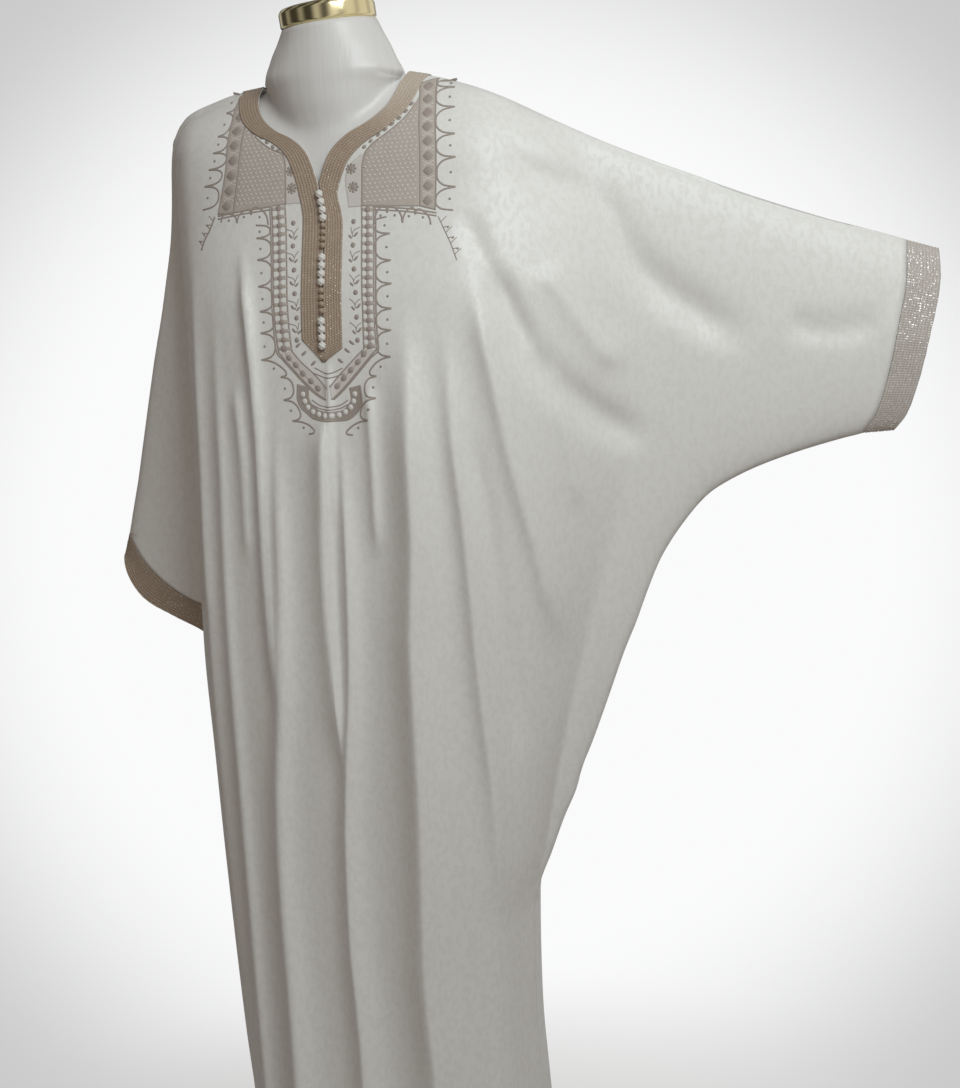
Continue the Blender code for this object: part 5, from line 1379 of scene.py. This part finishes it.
NECK_RINGS = (
    # height, half width, half depth
    (1.340, 0.040, 0.030),
    (1.390, 0.054, 0.048),
    (1.410, 0.062, 0.053),
    (1.430, 0.068, 0.0565),
    (1.445, 0.0735, 0.0573),
    (1.4546, 0.0795, 0.0575),
    (1.460, 0.0816, 0.0572),
    (1.466, 0.0795, 0.0567),
    (1.474, 0.0752, 0.0560),
    (1.488, 0.0685, 0.0549),
    (1.501, 0.0610, 0.0539),
    (1.517, 0.0530, 0.0530),
)
FORM_HEIGHTS = (
    0.780, 0.820, 0.870, 0.930, 0.990, 1.050, 1.110, 1.160, 1.210, 1.255, 1.295, 1.330, 1.360, 1.382,
    1.399, 1.412, 1.422, 1.431, 1.440, 1.449, 1.4546, 1.460, 1.467, 1.478, 1.494, 1.517,
)
FORM_SIDES = 144
FORM_STEPS = 5


def form_rings():
    """Rings of the form: its own where the cloth hangs free, and at the shoulders the cloth's left
    rings a hair smaller and lower. Columns: height, width, front, back and flank."""
    free = [ring + (FORM_FLANK,) for ring in FORM_RINGS]
    held = [(height - FORM_DROP, left - FORM_SIDE_EASE, max(front - FORM_EASE, FORM_THINNEST),
             back - FORM_EASE, flank)
            for height, left, right, front, back, flank, other in BODY_RINGS
            if height - FORM_DROP > FORM_TOP_OF_FREE]
    return tuple(free + held + [ring + (FORM_FLANK,) for ring in NECK_ROOT])


def neck_radius(angle, wide, deep):
    """Distance from the pole's line to an ellipse that lies forward of it, at each angle round it:
    the farther root of the quadratic that the ellipse's equation gives along a ray."""
    across, fore = (np.cos(angle) / wide) ** 2, (np.sin(angle) / deep) ** 2
    middle = -NECK_FORWARD * np.sin(angle) / deep**2
    rest = (NECK_FORWARD / deep) ** 2 - 1
    return (middle + np.sqrt(middle**2 - (across + fore) * rest)) / (across + fore)


def torso_ring(turn, width, front, back, flank):
    """Angles and radii of the torso's square-ish oval at these turns. In front its middle columns keep
    fixed angles, so that the neck stays round where the oval is thin; the rest share out its flanks."""
    dense = np.linspace(0, 2 * math.pi, 721)
    depth = np.where(np.sin(dense) < 0, front, back)
    share = np.abs(np.cos(dense)) ** (2 / CHEST_SQUARENESS)
    x = width * share * np.sign(np.round(np.cos(dense), 9))
    y = depth * np.abs(np.sin(dense)) ** (2 * flank) * np.sign(np.round(np.sin(dense), 9))
    angle = np.unwrap(np.arctan2(y, x))
    off = np.abs(turn - 1.5 * math.pi) / (math.pi / 2)
    edge = np.interp(1.5 * math.pi + MIDDLE_REACH, angle, dense)
    flanks = edge + (2 * math.pi - edge) * (off - MIDDLE_SHARE) / (1 - MIDDLE_SHARE)
    aside = np.where(off < MIDDLE_SHARE, MIDDLE_REACH * off / MIDDLE_SHARE,
                     np.interp(flanks, dense, angle) - 1.5 * math.pi)
    chosen = np.where(turn > math.pi, 1.5 * math.pi + np.sign(turn - 1.5 * math.pi) * aside,
                      np.interp(turn, dense, angle))
    return chosen, np.interp(chosen, angle, np.hypot(x, y))


def make_form(finish):
    """Bust, shoulders and neck as one loft of closed rings: at each height the torso's square-ish
    oval and the neck's ellipse joined by a high power sum of their radii."""
    rings = form_rings()
    steps = np.interp(np.arange((len(FORM_HEIGHTS) - 1) * FORM_STEPS + 1) / FORM_STEPS,
                      np.arange(len(FORM_HEIGHTS)), FORM_HEIGHTS)
    height = steps[:, None]
    turn = around(FORM_SIDES)
    sizes = np.stack([ring_value(steps, k, rings) for k in (1, 2, 3, 4)], axis=1)
    angle, torso = np.array([torso_ring(turn, *row) for row in sizes]).transpose(1, 0, 2)
    heights, widths, depths = np.array(NECK_RINGS).T
    neck = neck_radius(angle, through(height, heights, widths), through(height, heights, depths))
    radius = (torso**NECK_POWER + neck**NECK_POWER) ** (1 / NECK_POWER)
    x, y = radius * np.cos(angle), radius * np.sin(angle)
    lean = smooth_step((height - NECK_ROOT_HEIGHT) / (NECK_TOP - NECK_ROOT_HEIGHT))
    z = height + ((y + NECK_FORWARD) * math.tan(NECK_TILT) + x * math.tan(NECK_SIDE_TILT)) * lean
    points = np.stack([x, y, z], axis=-1)
    rows = len(steps)
    faces = grid_faces(rows, FORM_SIDES, True, closed=True).tolist()
    faces.append(list(range(FORM_SIDES))[::-1])
    faces.append(list(range((rows - 1) * FORM_SIDES, rows * FORM_SIDES)))
    return make_piece("form_loft", points.reshape(-1, 3), faces, finish)


plastic = make_finish("gloss_plastic", Specular_IOR_Level=0.5)
spot = coordinates(plastic.node_tree)
streak = noise(spot, 60, 2.0, 0.5, (1.6, 1.6, 0.08))
cloudy = noise(spot, 14, 2.0)
feed(plastic,
     Base_Color=mixed(streak * 0.5 + cloudy * 0.4, (0.82, 0.80, 0.78), (0.70, 0.68, 0.655)),
     Roughness=0.30 + cloudy * 0.12,
     Normal=bump(streak, 0.0012, 0.6))
settle(make_form(plastic), "form_torso")

# ---- Cap, knob, pole and base
# Turned and polished brass: a flat cap on the neck with a ball knob, and the stand's pole and its
# round foot, which the photograph's edge hides.
CAP_RADIUS = 0.054
CAP_HEIGHT = 0.022
KNOB_BALL = 0.020
POLE_RADIUS = 0.0125
POLE_FLANGE = 0.030
BASE_RADIUS = 0.180
BASE_THICK = 0.012
BASE_RIM = 0.003
CAP_EDGE = 0.0025
KNOB_NECK = 0.024
FORM_FOOT = 0.780
TURNED_SIDES = 128
CORNER_CUT = 0.0012
CORNER_SHARE = 0.45

# Ends of the pole and foot of the knob, as (radius, height) from the end that they start at
POLE_FOOT = ((0.0, 0.0), (POLE_FLANGE, 0.0), (POLE_FLANGE, 0.006), (POLE_RADIUS + 0.004, 0.012),
             (POLE_RADIUS, 0.018))
POLE_HEAD = ((POLE_RADIUS, 0.010), (POLE_FLANGE, 0.006), (POLE_FLANGE, 0.0), (0.0, 0.0))
KNOB_FOOT = ((0.0, 0.0), (0.011, 0.0), (0.012, 0.003), (0.007, 0.007))
KNOB_START = -1.15
KNOB_STEPS = 18


def rounded(profile, steps=5):
    """The profile with each of its inner corners cut by a short curve of the corner's own chords."""
    profile = np.array(profile, float)
    made = [profile[0]]
    for before, corner, after in zip(profile, profile[1:], profile[2:]):
        chords = [before - corner, after - corner]
        sizes = [np.linalg.norm(chord) for chord in chords]
        reach = min(CORNER_CUT, CORNER_SHARE * min(sizes))
        start, end = (corner + chord / size * reach for chord, size in zip(chords, sizes))
        t = np.linspace(0, 1, steps)[:, None]
        made.extend((1 - t) ** 2 * start + 2 * t * (1 - t) * corner + t**2 * end)
    return np.array(made + [profile[-1]])


def capped(rings, foot, top):
    """Points and faces of rings of points, row by row round an upright line, closed by a point at
    their foot and one at their top."""
    rows, columns = rings.shape[:2]
    faces = grid_faces(rows, columns, True, closed=True).tolist()
    j = np.arange(columns)
    after, last, end = (j + 1) % columns, (rows - 1) * columns, rows * columns
    faces += np.stack([after, j, np.full_like(j, end)], axis=1).tolist()
    faces += np.stack([last + j, last + after, np.full_like(j, end + 1)], axis=1).tolist()
    return np.concatenate([rings.reshape(-1, 3), [(0, 0, foot), (0, 0, top)]]), faces


def make_turned(name, profile, seat, node):
    """A turned piece: a profile of (radius, height) from its foot to its top, carried round a circle
    and closed by a point at both poles."""
    profile = rounded(profile)
    turn = around(TURNED_SIDES)
    radius, height = profile[1:-1, 0, None], profile[1:-1, 1, None] + 0 * turn
    rings = np.stack([radius * np.cos(turn), radius * np.sin(turn), height], axis=-1)
    points, faces = capped(rings, profile[0, 1], profile[-1, 1])
    points = points @ np.array(seat.to_3x3()).T + np.array(seat.to_translation())
    settle(make_piece(name, points, faces, brass), node)


brass = make_finish("polished_brass_metal", Metallic=1.0)
spot = coordinates(brass.node_tree)
polish = noise(spot, 240, 2.0, 0.6, (0.2, 0.2, 1.0))
tarnish = noise(spot, 26, 3.0)
feed(brass,
     Base_Color=mixed(tarnish, (0.84, 0.74, 0.46), (0.72, 0.60, 0.33)),
     Roughness=0.10 + tarnish * 0.10,
     Normal=bump(polish, 0.00006, 0.5))
here = Matrix.Identity(4)
upward = Vector((-math.tan(NECK_SIDE_TILT), -math.tan(NECK_TILT), 1)).normalized()
neck_turn = Vector((0, 0, 1)).rotation_difference(upward).to_matrix().to_4x4()
neck_seat = Matrix.Translation((0, -NECK_FORWARD, NECK_TOP)) @ neck_turn
make_turned("stand_base", [(0.0, 0.0), (BASE_RADIUS - BASE_RIM, 0.0), (BASE_RADIUS, BASE_RIM),
                           (BASE_RADIUS, BASE_THICK - BASE_RIM), (BASE_RADIUS - BASE_RIM, BASE_THICK),
                           (0.0, BASE_THICK)], here, "base")
foot, top = BASE_THICK + SEAM_GAP, FORM_FOOT - SEAM_GAP
pole = [(radius, foot + rise) for radius, rise in POLE_FOOT]
pole += [(radius, top - drop) for radius, drop in POLE_HEAD]
make_turned("stand_pole", pole, here, "pole")
make_turned("form_cap", [
    (0.0, SEAM_GAP), (CAP_RADIUS - CAP_EDGE, SEAM_GAP), (CAP_RADIUS, SEAM_GAP + CAP_EDGE),
    (CAP_RADIUS, CAP_HEIGHT - 2 * CAP_EDGE), (CAP_RADIUS - CAP_EDGE, CAP_HEIGHT - CAP_EDGE / 2),
    (CAP_RADIUS - 3 * CAP_EDGE, CAP_HEIGHT), (0.0, CAP_HEIGHT)], neck_seat, "neck_cap")
lift = CAP_HEIGHT + SEAM_GAP
knob = [(radius, lift + rise) for radius, rise in KNOB_FOOT]
knob += [(KNOB_BALL * math.cos(a), lift + KNOB_NECK + KNOB_BALL * math.sin(a))
         for a in np.linspace(KNOB_START, math.pi / 2, KNOB_STEPS + 1)[:-1]]
make_turned("form_knob", knob + [(0.0, lift + KNOB_NECK + KNOB_BALL)], neck_seat, "finial")

# ---- Knot buttons
# Buttons tied from silk cord in a row down the closed slit: three runs of four white ones, and runs
# of four smaller beige ones between them. Each is a ball of cord wound aslant.
WHITE_RADIUS = 0.0041
BEIGE_RADIUS = 0.0030
KNOT_FLATNESS = 0.85
KNOT_GRID = (21, 32)
KNOT_POLE = 0.9
KNOT_SEAT = 0.94
WHITE_RUNS = ((1.3268, 4), (1.2580, 4), (1.1900, 4))
BEIGE_RUNS = ((1.2925, 4), (1.2225, 4))
WHITE_PITCH = 0.0087
BEIGE_PITCH = 0.0072
KNOT_STRETCH = 1.06
CORD_SLANT = math.radians(35)
CORD_TURNS = 2.6
CORD_DIP = 0.07


def braid_front(x, z):
    """How far forward the neck's braid comes at a place, as y."""
    return seam_sheet(x) - half_depth(x, z, True) - BRAID_LIFT - BRAID_THICK - BRAID_CORD_RISE


def make_knot(name, middle, radius, finish, node):
    """A ball whose radius swells and dips along slanting stripes in the front view, as the turns of
    a cord wound round it."""
    rows, columns = KNOT_GRID
    rise = np.linspace(-math.pi / 2, math.pi / 2, rows)[1:-1, None]
    turn = around(columns)[None]
    stripe = np.cos(rise) * np.cos(turn) * math.sin(CORD_SLANT) + np.sin(rise) * math.cos(CORD_SLANT)
    size = radius * (1 + CORD_DIP * np.cos(math.pi * CORD_TURNS * stripe))
    x, y = size * np.cos(rise) * np.cos(turn), size * np.cos(rise) * np.sin(turn) * KNOT_FLATNESS
    z = size * np.sin(rise) * KNOT_STRETCH
    points, faces = capped(np.stack([x, y, z], axis=-1), -radius * KNOT_POLE, radius * KNOT_POLE)
    settle(make_piece(name, points + middle, faces, finish), node)


def cord_finish(name, light, dark):
    """Twisted silk cord: pale strands, with painted shade darkening the furrows between them."""
    finish = make_finish(name, Sheen_Weight=0.25, Sheen_Roughness=0.35)
    spot = coordinates(finish.node_tree)
    strand = add_node(spot.tree, "ShaderNodeTexWave", {"bands_direction": "DIAGONAL"},
                      {"Vector": spot, "Scale": 240.0, "Distortion": 3.0, "Detail": 1.0})
    fibre = noise(spot, 1500, 2.0)
    feed(finish,
         # Painted shade: the colour darkens in the furrows between the strands, following the cord's
         # relief
         Base_Color=mixed(strand * 0.6 + fibre * 0.3, dark, light),
         Roughness=0.42 + fibre * 0.15,
         Normal=bump(strand + fibre * 0.4, 0.00025, 0.8))
    return finish


white_cord = cord_finish("white_silk_cord", (0.93, 0.915, 0.88), (0.74, 0.70, 0.65))
beige_cord = cord_finish("beige_silk_cord", (0.56, 0.44, 0.33), (0.33, 0.245, 0.175))
KNOTS = (
    # node, runs, pitch, radius, finish, slot
    ("knot_white", WHITE_RUNS, WHITE_PITCH, WHITE_RADIUS, white_cord, "ivory_silk"),
    ("knot_beige", BEIGE_RUNS, BEIGE_PITCH, BEIGE_RADIUS, beige_cord, "taupe_braid"),
)
for kind, runs, pitch, radius, finish, slot in KNOTS:
    heights = np.array([top - pitch * k for top, count in runs for k in range(count)])
    knots, shifts = np.array(sorted(CENTRE_SHIFT)).T
    middles = through(heights, knots, shifts)
    fronts = braid_front(middles, heights) - radius * KNOT_FLATNESS * KNOT_SEAT
    for number, middle in enumerate(zip(middles, fronts, heights), 1):
        make_knot(f"{kind}_ball_{number:02d}", np.array(middle), radius, finish,
                  f"{kind}_{number:02d}")
